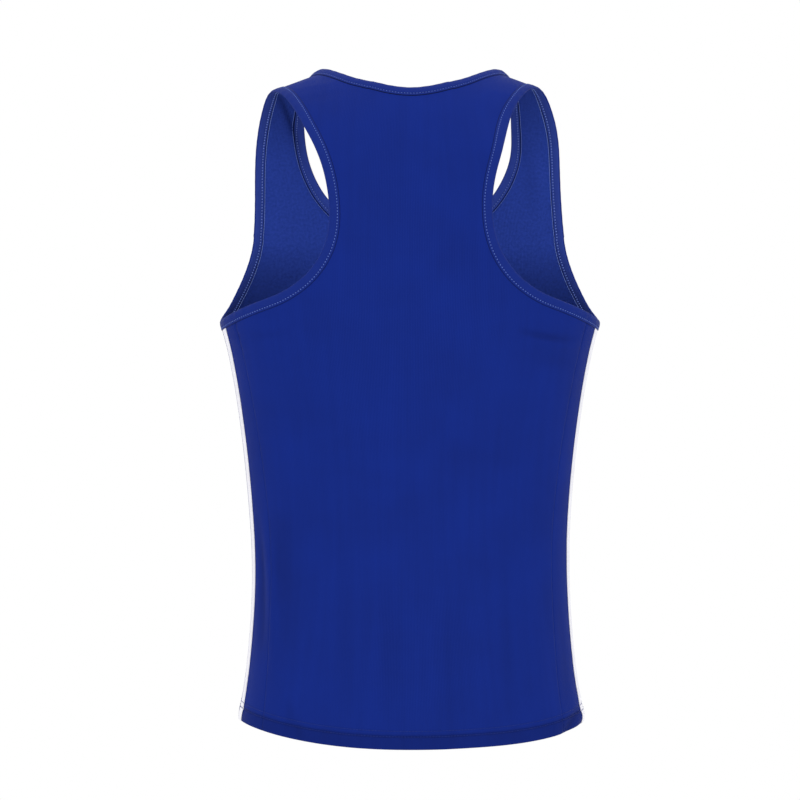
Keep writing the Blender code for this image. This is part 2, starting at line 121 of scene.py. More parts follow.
ARMHOLE_BACK = np.array((  # half_width, height
    (118, -38), (107, -58), (97, -78), (89, -100), (84.3, -123),
    (82.6, -144), (84, -164), (91, -186), (106, -207), (128.5, -223.5),
    (157, -234.5),
))
ARMHOLE_FRONT = np.array((  # half_width, height, from the underarm up
    (190.5, -234), (182, -214), (174.5, -194), (169, -174),
    (166.5, -152), (165.5, -121), (165, -89), (163.5, -66), (160.5, -46),
    (156.5, -31),
))
NECK_BACK = np.array((  # half_width, height, from the middle out
    (0, -17.6), (20, -15.2), (41, -9.4), (57, -4.8), (72, 1.9),
))
NECK_FRONT_SIDE = np.array(((113.0, -44.0),))   # half_width, height
NECK_SCOOP_WIDTH = 111.5   # half-width of the front scoop
NECK_SCOOP_TOP = -50.0     # height where it is widest
NECK_SCOOP_DROP = 106.0    # and how far it falls from there
NECK_SCOOP_STEPS = np.radians((20.0, 34.0, 48.0, 62.0, 76.0, 90.0))
NECK_RISE = 25.0           # degrees the neck binding stands up at the shoulder
NECK_RISE_REACH = 28.0     # how far along the neck that rise carries
BINDING_WIDTH = 10.5       # folded binding, from its seam to the open edge
TUCK = 7.5                 # how far from the open edge the panels end, inside the binding

# ---- soft creases, given one by one ----
BACK_CREASES = (  # x and height at one end, then at the other, bow, half_width, lift
    # under the arms: short drag lines towards the armholes
    (104, -262, 168, -272, -3, 4, -1.6), (112, -270, 172, -281, -3, 4.5, 1),
    (128, -290, 172, -304, 2, 7, -0.5), (-118, -262, -170, -268, 3, 5, -0.5),
    (-128, -278, -172, -292, 2, 7, 0.5),
    # waist down: upright waves of different lengths
    (-157, -448, -154, -590, 3, 5, -1.9), (-147, -470, -142, -618, 2, 7, 1.5),
    (-128, -440, -124, -590, -4, 14, -1), (-96, -500, -101, -668, 3, 13, 0.7),
    (-67, -470, -64, -655, -2, 9, -0.6), (-46, -488, -47, -676, 2, 9, 0.7),
    (-20, -520, -24, -676, 0, 12, -0.5), (5, -480, 3, -650, 2, 10, 0.6),
    (38, -540, 41, -678, -3, 14, -0.6), (72, -505, 76, -640, 2, 12, 0.5),
    (95, -470, 97, -660, -2, 8, -0.7), (122, -520, 128, -672, 3, 12, 0.8),
    (150, -540, 158, -664, 2, 8, -0.7), (150, -688, 176, -640, 4, 5, -1.4),
    (163, -684, 178, -652, 3, 4, 1), (-84, -640, -60, -684, 2, 6, 0.9),
    (-128, -632, -112, -676, -2, 6, -0.8),
    # small of the back and racerback: very faint cross creases
    (-110, -402, -30, -414, 5, 9, -0.35), (24, -378, 118, -392, -6, 10, -0.35),
    (-66, -150, -20, -206, 4, 9, 0.35), (64, -140, 30, -214, -4, 10, -0.35),
    (-122, -16, -70, -10, 1, 3.5, 0.45), (-116, -27, -66, -22, -1, 3.5, -0.4),
    (72, -20, 118, -26, 1, 4, 0.35),
)
FRONT_CREASES = (
    # front straps: the cloth rolls a little between shoulder and chest
    (-142, -6, -112, -84, 3, 3.5, 3.2), (-131, -6, -102, -92, 2, 6, -1.6),
    (140, -24, 146, -112, -3, 8, -0.9), (124, -40, 132, -140, 2, 8, 0.6),
    (-150, -120, -132, -200, 4, 9, -0.7),
    # under the arms and under the scoop
    (-176, -246, -112, -268, -4, 6, -1), (-172, -262, -120, -286, -3, 7, 0.7),
    (178, -250, 104, -262, 3, 6, -0.8), (170, -268, 116, -292, 2, 8, 0.6),
    (-88, -168, -102, -236, 3, 9, -0.6), (84, -166, 106, -250, -3, 9, -0.7),
    (-26, -176, -40, -262, 2, 13, 0.5), (22, -178, 30, -246, -2, 12, -0.4),
    # waist down
    (154, -470, 156, -606, -3, 8, -0.9), (132, -452, 138, -640, 3, 11, 0.8),
    (98, -488, 104, -664, -3, 12, -0.8), (62, -512, 60, -668, 2, 11, 0.6),
    (22, -476, 26, -640, 2, 12, -0.5), (-18, -530, -14, -672, 0, 13, 0.6),
    (-54, -498, -58, -650, 3, 10, -0.7), (-92, -470, -97, -668, -4, 13, 0.8),
    (-128, -508, -134, -648, 3, 10, -0.8), (-156, -528, -160, -654, 2, 8, 0.6),
    (-70, -396, 40, -408, 7, 10, -0.4),
)
CREASE_STEPS = 8
CREASE_FADE = 0.8      # under 1 keeps a crease's depth longer towards its ends
CREASE_PAINTED_SHADE = 0.14     # painted shade: how much darker a trough, seen from either face, is coloured for each millimetre it is deep
HEM_ROWS = (13.0, 18.5)   # heights of the two rows of stitching over the hem's fold
HEM_TONE = 0.26        # how much darker the cloth is coloured over the turned-up hem
HEM_PUCKER = 0.4       # height of the puckers the hem's stitching makes
HEM_PUCKER_TALL = 8.0  # how far they reach from the lower row
HEM_SWELL = 0.35       # how much the doubled cloth swells between fold and stitching
SWELL_AT, SWELL_TALL = 7.0, 4.5  # height of that swelling over the fold, and its reach
ROW_TALL, ROW_TALL_HIGH = 1.0, 0.7  # half-height of the groove of the low and the high row
ROW_DEEP, ROW_PAINTED_SHADE = 0.35, 0.22  # how deep a row of stitching lies, and how dark the painted shade in its groove is
SEAM_PUCKER = 0.06     # height of the side seam's puckers along most of it
SEAM_ENDS = ((-262.0, 20.0, 0.38), (-655.0, 22.0, 0.12))  # height, reach, how much more there
SEAM_PUCKER_WIDE = 7.0  # how far they run from the seam
SEAM_DEEP, SEAM_DEEP_TOP = 0.10, 0.35  # depth of the seam's groove, and how much more on top
SEAM_WIDE = 1.5        # half-width of the groove

# ---- cells ----
SAMPLES = 720          # fine points round each edge
SPAN_POINTS = 40       # points between two knots of an edge
ARM_PASSES, NECK_PASSES = 60, 40     # how often an edge line is smoothed
LEVEL_TOP = -300.0     # level rings run from the hem up to here
LEVEL_RINGS = 88
RISING_RINGS = 22      # from the level rings up to the armholes and neck
BACK_UNDER = 24        # cells along the back underarm, seam to racerback
BACK_RISE = 44         # up the racerback, from the underarm to the yoke
BACK_STRAP = 12        # cells across a back strap
BACK_STRAP_RISE = 24
BACK_NECK = 18         # cells along half of the back neck
FRONT_SIDE = 14        # cells from the seam round to the middle of the side
FRONT_UNDER = 16       # cells from the middle of the side to the armhole corner
FRONT_STRAP = 14       # cells across a front strap
FRONT_STRAP_RISE = 52
FRONT_NECK = 26        # cells along half of the scoop
BACK_CORNER = -206.0   # height of the back armhole corner on the panel
FRONT_CORNER = -214.0  # height of the front armhole corner on the panel
SCOOP_CORNER = -131.0  # height of the corner on the scoop
YOKE_FALL = 96.0       # cloth from the ridge down to the yoke row, at the armhole
NAPE_FALL = 66.0       # and at the back neck
EDGE_STATIONS = 360    # stations round a binding
WELD = 0.00001         # metres within which two blocks' corners are one
SEAM_CLEAR = 0.05      # from a layer of cloth to the line or fold it meets


def shares(count):
    """0 to 1 in equal steps."""
    return np.linspace(0.0, 1.0, count + 1)


def run_of(line):
    """Length along a line from its first point to each of its points."""
    return np.concatenate([[0.0], np.cumsum(np.linalg.norm(np.diff(line, axis=0), axis=1))])


def smooth(u, p, m, q, n):
    """A share u of the way from p to q, with the slopes m and n there."""
    return ((2 * u**3 - 3 * u**2 + 1) * p + (u**3 - 2 * u**2 + u) * m
            + (3 * u**2 - 2 * u**3) * q + (u**3 - u**2) * n)


def reading(table, at, column):
    """Smooth reading of one column of a table whose first column rises."""
    keys, values = table[:, 0], table[:, column]
    rows = np.arange(len(keys))
    low, high = np.maximum(rows - 1, 0), np.minimum(rows + 1, rows[-1])
    slope = (values[high] - values[low]) / (keys[high] - keys[low])
    k = np.clip(np.searchsorted(keys, at) - 1, 0, rows[-1] - 1)
    span = keys[k + 1] - keys[k]
    return smooth((at - keys[k]) / span, values[k], span * slope[k],
                  values[k + 1], span * slope[k + 1])


def deep(z, front):
    """Depth of the form at its middle, front or back."""
    return np.where(front, reading(FORM, z, 3), reading(FORM, z, 2))


def ridge(x):
    """Height of the shoulder ridge at a distance from the middle."""
    return RIDGE_TOP - RIDGE_FALL * (np.hypot(x, RIDGE_ROUND) - RIDGE_ROUND)


def depth(x, z, front):
    """Depth of the form, front or back, at a distance from the middle."""
    share = np.minimum(np.abs(x) / reading(FORM, z, 1), 1.0)
    return deep(z, front) * (1 - share**ROUNDNESS)**(1 / ROUNDNESS)


def body(angle, z):
    """Points on the form below the arch; the angle runs round from the middle of the back."""
    angle, z = np.broadcast_arrays(np.asarray(angle, float), np.asarray(z, float))
    turn = np.radians(angle)
    r = ((np.abs(np.sin(turn)) / reading(FORM, z, 1))**ROUNDNESS
         + (np.abs(np.cos(turn)) / deep(z, np.abs(angle) > 90))**ROUNDNESS)**(-1 / ROUNDNESS)
    return np.stack([r * np.sin(turn), -r * np.cos(turn), z], axis=-1)


def crown(x, fall):
    """Points on the form a length of cloth down from the ridge; below 0 is the front."""
    x, fall = np.broadcast_arrays(np.asarray(x, float), np.asarray(fall, float))
    turn = np.minimum(np.abs(fall) / ARCH, np.pi / 2)
    z = (ridge(x) - ARCH * (1 - np.cos(turn))
         - np.maximum(0.0, np.abs(fall) - ARCH * np.pi / 2))
    y = -np.where(fall < 0, -1.0, 1.0) * depth(x, z, fall < 0) * np.sin(turn)
    return np.stack([x, y, z], axis=-1)


def hung(drop):
    """The length of cloth that covers a drop from the ridge."""
    arched = ARCH * np.arccos(np.clip(1 - drop / ARCH, -1.0, 1.0))
    return np.where(drop < ARCH, arched, ARCH * np.pi / 2 + drop - ARCH)


def seen(x, z, front):
    """Points on the form from their places in the level view."""
    fall = hung(ridge(x) - z)
    return crown(x, np.where(front, -fall, fall))


def fall_of(p):
    """The length of cloth down from the ridge at points near the form."""
    x, y, z = np.moveaxis(p, -1, 0)
    part = np.abs(y) / np.maximum(depth(x, z, y > 0), 1e-6)
    drop = ridge(x) - z
    near = (part < 0.75) & (drop < 0.6 * ARCH)
    fall = np.where(near, ARCH * np.arcsin(np.clip(part, 0.0, 1.0)), hung(drop))
    return np.where(y > 0, -fall, fall)


def angle_of(p):
    return np.degrees(np.arctan2(p[..., 0], -p[..., 1]))


def mirrored(p):
    return p * np.array((-1.0, 1.0, 1.0))


def settle(p):
    """Put points that are near the form exactly on it."""
    low = (p[..., 2] < LEVEL_LOW)[..., None]
    return np.where(low, body(angle_of(p), p[..., 2]), crown(p[..., 0], fall_of(p)))


def outside(p, low):
    """Above 0 outside the form, below 0 inside it."""
    x, y, z = np.moveaxis(p, -1, 0)
    q = body(angle_of(p), z)
    lid = np.maximum(0.0, 1 - (ridge(x) - z) / ARCH)
    crowned = (y / np.maximum(depth(x, z, y > 0), 1e-6))**2 + lid**2 - 1
    return np.where(low, np.hypot(x, y) / np.hypot(q[..., 0], q[..., 1]) - 1, crowned)


def normal(p):
    """Unit vectors out of the form."""
    low = p[..., 2] < CROWN_LOW
    step = 0.05 * np.eye(3)
    return unit(np.stack([outside(p + e, low) - outside(p - e, low) for e in step], axis=-1))


def unit(v):
    return v / np.maximum(np.linalg.norm(v, axis=-1, keepdims=True), 1e-12)


def seam_angle(z):
    share = (z - HEM_SIDE) / (UNDERARM - HEM_SIDE)
    return SEAM_HEM_ANGLE + (SEAM_TOP_ANGLE - SEAM_HEM_ANGLE) * share


def hem(angle):
    """Height of the hem's folded edge round the form."""
    across = body(angle, HEM_SIDE)[..., 0] / reading(FORM, HEM_SIDE, 1)
    drop = np.where(np.abs(angle) > 90, HEM_DROP_FRONT, HEM_DROP_BACK)
    return HEM_SIDE - drop * (1 - np.abs(across)**HEM_CURVE)


# ---- edge lines ----
def even(points, count):
    """The same closed line with its points evenly spaced, starting at the same place."""
    ring = np.vstack([points, points[:1]])
    run = run_of(ring)
    at = np.linspace(0.0, run[-1], count, endpoint=False)
    return np.stack([np.interp(at, run, ring[:, k]) for k in range(3)], axis=1)


def closed_line(knots, passes):
    """A smooth closed line on the form through a few knots."""
    knots = settle(knots)
    ahead = np.roll(knots, -1, axis=0)
    chord = ahead - knots
    span = np.linalg.norm(chord, axis=1)[:, None]
    before = np.roll(span, 1, axis=0)
    slope = ((np.roll(chord, 1, axis=0) / before * span + chord / span * before)
             / (before + span))
    line = smooth(np.linspace(0.0, 1.0, SPAN_POINTS, endpoint=False)[:, None],
                  knots[:, None], (slope * span)[:, None], ahead[:, None],
                  (np.roll(slope, -1, axis=0) * span)[:, None])
    line = even(line.reshape(-1, 3), SAMPLES)
    for _ in range(passes):
        line = (np.roll(line, 1, axis=0) + 2 * line + np.roll(line, -1, axis=0)) / 4
    return settle(line)


def inland(line, width):
    """The line on the form that runs a width away from an edge, into the cloth."""
    along = unit(np.roll(line, -1, axis=0) - np.roll(line, 1, axis=0))
    way = np.cross(normal(line), along)
    lowest = int(np.argmin(line[:, 2]))
    side = -1.0 if way[lowest][2] > 0 else 1.0
    return settle(line + side * width * way)


def on(line, at):
    """Points on a closed line at places that needn't be whole numbers."""
    at = np.asarray(at, float)
    first = np.floor(at).astype(int)
    part = (at - first)[:, None]
    return settle(line[first % len(line)] * (1 - part) + line[(first + 1) % len(line)] * part)


def armhole_line():
    """Down the back from the ridge, under the arm and up the front, on the wearer's right."""
    return closed_line(np.vstack([
        crown(SHOULDER_OUT, 0.0)[None],
        seen(ARMHOLE_BACK[:, 0], ARMHOLE_BACK[:, 1], False),
        body(90.0, UNDERARM)[None],
        seen(ARMHOLE_FRONT[:, 0], ARMHOLE_FRONT[:, 1], True)]), ARM_PASSES)


def neck_line():
    """From the middle of the back out over the right ridge, down to the scoop and round."""
    scoop_x = NECK_SCOOP_WIDTH * np.cos(NECK_SCOOP_STEPS)
    scoop_z = NECK_SCOOP_TOP - NECK_SCOOP_DROP * np.sin(NECK_SCOOP_STEPS)
    right = np.vstack([
        seen(NECK_BACK[:, 0], NECK_BACK[:, 1], False),
        crown(SHOULDER_IN, 0.0)[None],
        seen(NECK_FRONT_SIDE[:, 0], NECK_FRONT_SIDE[:, 1], True),
        seen(scoop_x, scoop_z, True)])
    return closed_line(np.vstack([right, mirrored(right[-2:0:-1])]), NECK_PASSES)


ARM = armhole_line()
NECK = neck_line()
ARM_SEAM, NECK_SEAM = inland(ARM, BINDING_WIDTH), inland(NECK, BINDING_WIDTH)
ARM_TUCK, NECK_TUCK = inland(ARM, TUCK), inland(NECK, TUCK)


# ---- relief: everything that lies on the cloth goes through drape() ----
def crease_path(front, x0, z0, x1, z1, bow):
    """Points along one crease on the form."""
    t = shares(CREASE_STEPS)
    span = math.hypot(x1 - x0, z1 - z0)
    swell = 4 * t * (1 - t) * bow
    x = x0 + (x1 - x0) * t - (z1 - z0) / span * swell
    z = z0 + (z1 - z0) * t + (x1 - x0) / span * swell
    return seen(x, z, front)


def one_crease(p, path, half_width, lift):
    """Relief of one crease: a soft trough or ridge that dies out at both ends."""
    total = np.zeros(len(p))
    middle = path[len(path) // 2]
    reach = np.linalg.norm(path - middle, axis=1).max() + 3 * half_width
    near = np.linalg.norm(p - middle, axis=1) < reach
    q = p[near]
    best = np.full(len(q), 1e9)
    share = np.zeros(len(q))
    for k in range(len(path) - 1):
        way = path[k + 1] - path[k]
        t = np.clip((q - path[k]) @ way / (way @ way), 0.0, 1.0)
        gap = ((q - path[k] - t[:, None] * way)**2).sum(axis=1)
        better = gap < best
        best = np.where(better, gap, best)
        share = np.where(better, (k + t) / (len(path) - 1), share)
    fade = (4 * share * (1 - share))**CREASE_FADE
    total[near] = lift * fade * np.exp(-best / half_width**2)
    return total


def seam_pucker(p):
    """The side seams sit in a fine groove, with short uneven puckers across them."""
    z = p[:, 2]
    turn = np.abs(angle_of(p))
    off = np.radians(turn - seam_angle(z)) * np.hypot(p[:, 0], p[:, 1])
    side = np.where(p[:, 0] > 0, 0.0, 1.7)
    wave = (np.sin(z / 2.1 + side + 1.3 * np.sin(z / 17.0 + side))
            * (0.5 + 0.5 * np.sin(z / 31.0 + 2 * side)))
    strength = SEAM_PUCKER
    for height, reach, more in SEAM_ENDS:
        strength = strength + more * np.exp(-((z - height) / reach)**2)
    height, reach, _ = SEAM_ENDS[0]
    groove = SEAM_DEEP + SEAM_DEEP_TOP * np.exp(-((z - height) / reach)**2)
    return np.where(z < SEAM_STOP, strength * wave * np.exp(-(off / SEAM_PUCKER_WIDE)**2)
                    - groove * np.exp(-(off / SEAM_WIDE)**2), 0.0)


def hem_pucker(p):
    """The hem's stitching draws the cloth into shallow uneven puckers."""
    total = np.zeros(len(p))
    low = p[:, 2] < HEM_SIDE + 40.0
    turn = angle_of(p[low])
    above = p[low][:, 2] - hem(turn) - HEM_ROWS[0]
    wave = (np.sin(0.9 * turn + 2.0 * np.sin(0.21 * turn))
            * (0.55 + 0.45 * np.sin(0.13 * turn + 1.0)))
    total[low] = HEM_PUCKER * wave * np.exp(-(above / HEM_PUCKER_TALL)**2)
    return total


def relief(p):
    total = seam_pucker(p) + hem_pucker(p)
    for front, creases in ((False, BACK_CREASES), (True, FRONT_CREASES)):
        for *ends, bow, half_width, lift in creases:
            total += one_crease(p, crease_path(front, *ends, bow), half_width, lift)
    return total


def ease(value, start, span):
    """0 before start, 1 past start + span, smooth between."""
    u = np.clip((value - start) / span, 0.0, 1.0)
    return u * u * (3 - 2 * u)


def pulled(p):
    """How far sideways the cloth has slipped: the top doesn't hang quite even."""
    x, y, z = p.T
    chest = 0.5 + 0.5 * np.tanh(y / PULL_BLEND)
    weight = {"both": 1.0, "back": 1 - chest, "front": chest}
    total = reading(LEAN, z, 1)
    for side, start, full, height, reach, sideways in PULLS:
        total = total + (sideways * weight[side] * ease(x, start, full - start)
                         * np.exp(-((z - height) / reach)**2))
    return total


def drape(p, raised=None):
    """Carry points that were set on or near the even form over to the creased cloth."""
    flat = p.reshape(-1, 3)
    raised = relief(flat) if raised is None else raised
    moved = flat + raised[:, None] * normal(flat)
    aside = pulled(flat)
    moved[:, 0] += aside
    moved[:, 2] -= (aside * RIDGE_FALL * ease(flat[:, 2], SLIDE_FROM, SLIDE_TALL)
                    + SAG * ease(flat[:, 0], SAG_FROM, SAG_WIDE)
                    * ease(-flat[:, 2], -SAG_TOP, SAG_TALL))
    return moved.reshape(p.shape)


# ---- meshes ----
class Sheet:
    """Blocks of cells that are welded into one piece of cloth."""

    def __init__(self):
        self.bm = bmesh.new()
        self.uv = self.bm.loops.layers.uv.new("cloth")
        # Two layers of painted shade per vertex: one read by every face, one read by the inner
        # face only.
        self.shade = self.bm.verts.layers.float.new("shade")
        self.hollow = self.bm.verts.layers.float.new("hollow")

    def block(self, points, uv, shade=0.0, turned=False):
        """One grid of cells, draped: points, uv and shade are given row by row."""
        rows, columns = points.shape[:2]
        made = bmesh.ops.create_grid(self.bm, x_segments=columns - 1, y_segments=rows - 1,
                                     size=1.0)["verts"]
        flat = points.reshape(-1, 3)
        raised = relief(flat)
        place = drape(flat, raised) * MM
        # Painted shade: every trough is coloured darker on the face it opens to, and the inner
        # face is also darkened by height, where little light gets inside.
        tint = (CREASE_PAINTED_SHADE * np.maximum(-raised, 0.0)
                + np.broadcast_to(shade, (rows, columns)).reshape(-1))
        chart = {}
        within = np.interp(flat[:, 2], INNER_PAINTED_SHADE[:, 0], INNER_PAINTED_SHADE[:, 1]) + CREASE_PAINTED_SHADE * raised
        for vert, co, at, dark, dim in zip(made, place, uv.reshape(-1, 2) * MM, tint, within):
            vert.co = co
            vert[self.shade] = dark
            vert[self.hollow] = dim
            chart[vert] = at
        faces = {face for vert in made for face in vert.link_faces}
        for face in faces:
            for loop in face.loops:
                loop[self.uv].uv = chart[loop.vert]
            face.smooth = True
            if turned:
                face.normal_flip()

    def finish(self, name, *finishes):
        bmesh.ops.remove_doubles(self.bm, verts=self.bm.verts[:], dist=WELD)
        return finish_mesh(self.bm, name, *finishes)


def finish_mesh(bm, name, *finishes):
    mesh = bpy.data.meshes.new(name)
    bm.to_mesh(mesh)
    bm.free()
    piece = bpy.data.objects.new(name, mesh)
    bpy.context.scene.collection.objects.link(piece)
    for finish in finishes:
        mesh.materials.append(get_material(finish))
    return piece


def wall(piece, thickness, inner_slot=0):
    """Give a sheet its thickness in metres, inwards from the face that shows."""
    solidify = piece.modifiers.new("wall", "SOLIDIFY")
    solidify.thickness = thickness
    solidify.offset = -1.0
    solidify.use_rim = True
    solidify.material_offset = inner_slot


ARC_TURN = np.linspace(0.0, 180.0, 361)
ARC_RUN = run_of(body(ARC_TURN, WAIST))


def cloth_uv(p, front):
    """Place on the cut cloth: across from the middle of the piece, and up."""
    x, z = p[..., 0], p[..., 2]
    chest = np.abs(angle_of(p)) > 90
    turn = np.degrees(np.arctan2(np.abs(x), np.where(chest, -1, 1) * depth(x, z, chest)))
    across = np.interp(turn, ARC_TURN, ARC_RUN)
    if front:
        across = across - ARC_RUN[-1]
    lift = np.where(z > CROWN_LOW, ridge(x) + ARCH * (np.pi / 2 - 1) - np.abs(fall_of(p)), z)
    return np.stack([np.sign(x) * across, lift], axis=-1)


def hem_profile(turn_up):
    """(height over the fold, depth) down the turn-up, round the fold and up the face."""
    r = settings().cloth_wall / MM + SEAM_CLEAR
    inner = [(h, -2 * r) for h in np.linspace(turn_up, r, 7)]
    fold = [(r - r * math.sin(a), -r + r * math.cos(a))
            for a in np.linspace(math.pi, 0.0, 7)[1:-1]]
    outer = [(h, 0.0) for h in (r, 2.5, 5.0, 8.0, 10.5, 11.8, 12.5, 13.0, 13.5, 14.2, 15.8,
                                17.3, 18.0, 18.5, 19.0, 19.8, 21.5)]
    return np.array(inner + fold + outer)


def rings(angles, tops, follow, lift, profile):
    """Rows of points from the turned-up hem to a row of top points, and how deep each lies."""
    levels, depths = profile[:, 0], profile[:, 1]
    first = hem(angles) + levels[-1]
    rise, climb = shares(LEVEL_RINGS)[1:, None], shares(RISING_RINGS)[1:, None]
    z = np.vstack([
        hem(angles)[None] + levels[:, None],
        first[None] + (LEVEL_TOP - first[None]) * rise,
        LEVEL_TOP + (tops[None] - LEVEL_TOP) * climb])
    shift = follow[None] * (seam_angle(z) - seam_angle(tops)[None])
    turn = angles[None] + np.where(angles[None] > 0, shift, -shift)
    count = len(levels)
    z[:count] = hem(turn[:count]) + levels[:, None]
    down = np.zeros(len(z))
    down[:count] = depths
    low_row, high_row = (z - hem(turn) - row for row in HEM_ROWS)
    # Painted shade lies in the stitch grooves, and the cloth over the turned-up hem is
    # coloured darker.
    groove = (np.exp(-(low_row / ROW_TALL)**2)
              + 0.4 * np.exp(-(high_row / ROW_TALL_HIGH)**2))
    doubled = HEM_TONE * ease(levels[-1] - (z - hem(turn)), 4.0, 5.0)
    p = body(turn, z)
    out = normal(p)
    face = down[:, None] > -0.2
    swell = face * (HEM_SWELL * np.exp(-((z - hem(turn) - SWELL_AT) / SWELL_TALL)**2)
                    - ROW_DEEP * groove)
    return (p, p + (lift + down[:, None] + swell)[..., None] * out,
            (ROW_PAINTED_SHADE * groove + doubled) * face)


def flat_of(p):
    """(x, fall) of points on the crown, for blending between them."""
    return np.stack([p[..., 0], fall_of(p)], axis=-1)


def patch(low, high, left, right):
    """Points between four rows of points (low to high, left to right) on the crown."""
    lo, hi, le, ri = flat_of(low), flat_of(high), flat_of(left), flat_of(right)
    v, u = shares(len(left) - 1)[:, None, None], shares(len(low) - 1)[None, :, None]
    mix = ((1 - v) * lo[None] + v * hi[None] + (1 - u) * le[:, None] + u * ri[:, None]
           - (1 - u) * (1 - v) * lo[0] - u * (1 - v) * lo[-1]
           - (1 - u) * v * hi[0] - u * v * hi[-1])
    grid = crown(mix[..., 0], mix[..., 1])
    grid[0], grid[-1], grid[:, 0], grid[:, -1] = low, high, left, right
    return grid


def stations():
    """Places round the tucked edges where the blocks of a panel meet."""
    arm, neck = ARM_TUCK, NECK_TUCK
    half, last = SAMPLES // 2, SAMPLES - 60
    angle = angle_of(arm)

    def place(test, start, stop, which):
        return start + int(np.flatnonzero(test[start:stop])[which])

    def ridge_place(line):
        return int(np.argmin(np.abs(line[:, 1]) + 1000 * (line[:, 2] < -60)))

    top, cross = ridge_place(arm), ridge_place(neck[:half])
    yoke = place(fall_of(arm) > YOKE_FALL, top + 20, half, 0)
    back = place(arm[:, 2] < BACK_CORNER, yoke, half, 0)
    seam = place(angle < np.maximum(seam_angle(arm[:, 2]), SEAM_HEM_ANGLE), back, last, -1)
    return dict(
        top=top, cross=cross, yoke=yoke, back=back, seam=seam, half=half,
        side=place(angle < 90.0, seam, last, -1),
        front=place(arm[:, 2] < FRONT_CORNER, seam, SAMPLES - 30, -1),
        nape=place(fall_of(neck) > NAPE_FALL, 0, cross, -1),
        scoop=place(neck[:, 2] > SCOOP_CORNER, cross, half, -1))


PLACES = stations()


def from_seam(first, last, count):
    """Places that start close together at a seam and open out."""
    u = shares(count)
    return first + (last - first) * (0.25 * u + 0.75 * u**1.8)


def under_arm(places, side):
    """Angles and heights under the arm, from just beside the side seam on."""
    under = on(ARM_TUCK, places)
    angle, top = angle_of(under), under[:, 2].copy()
    gap = math.degrees(SEAM_CLEAR / math.hypot(under[0][0], under[0][1]))
    angle[0] = seam_angle(top[0]) + side * gap
    return angle, top


def strap_block(sheet, low, arm, neck, seam, turn, front, turned):
    """A shoulder strap, from a row of points (armhole to neck) up to the ridge."""
    share = shares(len(low) - 1)
    high = turn(crown(arm[-1][0] + (neck[-1][0] - arm[-1][0]) * share, seam))
    left = np.vstack([low[:1], turn(arm[1:-1]), high[:1]])
    right = np.vstack([low[-1:], turn(neck[1:-1]), high[-1:]])
    grid = patch(low, high, left, right)
    # Along the shoulder seam the cloth dips into a groove, darkened with painted shade.
    near = np.exp(-((np.abs(fall_of(grid)) - abs(seam)) / 1.6)**2)
    lifted = grid - (0.5 * near)[..., None] * normal(grid)
    sheet.block(lifted, cloth_uv(grid, front), 0.6 * near, turned)


def back_cloth():
    sheet = Sheet()
    st, arm, neck = PLACES, ARM_TUCK, NECK_TUCK
    at = from_seam(st["seam"], st["back"], BACK_UNDER)
    angle, top = under_arm(at, -1)
    corner = arm[st["back"]]
    half = BACK_STRAP + BACK_NECK
    x = np.linspace(-corner[0], corner[0], 2 * half + 1)[1:-1]
    middle = angle_of(seen(x, np.full(len(x), corner[2]), False))
    angles = np.concatenate([-angle, middle, angle[::-1]])
    tops = np.concatenate([top, np.full(len(x), corner[2]), top[::-1]])
    near = 1 - (at - st["seam"]) / (st["back"] - st["seam"])
    follow = np.concatenate([near, np.zeros(len(x)), near[::-1]])
    base, placed, shade = rings(angles, tops, follow, 0.0,
                                hem_profile(settings().hem_turn / MM))
    sheet.block(placed, cloth_uv(base, False), shade)

    low = base[-1][BACK_UNDER:BACK_UNDER + 2 * half + 1]
    rise = on(arm, np.linspace(st["back"], st["yoke"], BACK_RISE + 1))
    nape = on(neck, np.linspace(0, st["nape"], BACK_NECK + 1))
    ends = flat_of(np.stack([rise[-1], nape[-1]]))
    share = shares(BACK_STRAP)[1:-1, None]
    across = ends[0] + (ends[1] - ends[0]) * share
    yoke = np.vstack([rise[-1:], crown(across[:, 0], across[:, 1]), nape[:0:-1]])
    high = np.vstack([mirrored(yoke), nape[:1], yoke[::-1]])
    left = np.vstack([low[:1], mirrored(rise[1:-1]), high[:1]])
    right = np.vstack([low[-1:], rise[1:-1], high[-1:]])
    grid = patch(low, high, left, right)
    sheet.block(grid, cloth_uv(grid, False))

    seam = SEAM_CLEAR * ARCH / depth(SHOULDER_OUT, 0.0, False)
    arm_up = on(arm, np.linspace(st["yoke"], st["top"], BACK_STRAP_RISE + 1))
    neck_up = on(neck, np.linspace(st["nape"], st["cross"], BACK_STRAP_RISE + 1))
    strap_block(sheet, high[:-BACK_STRAP - 2:-1], arm_up, neck_up, seam, np.array, False,
                True)
    strap_block(sheet, high[:BACK_STRAP + 1], arm_up, neck_up, seam, mirrored, False, False)
    return sheet


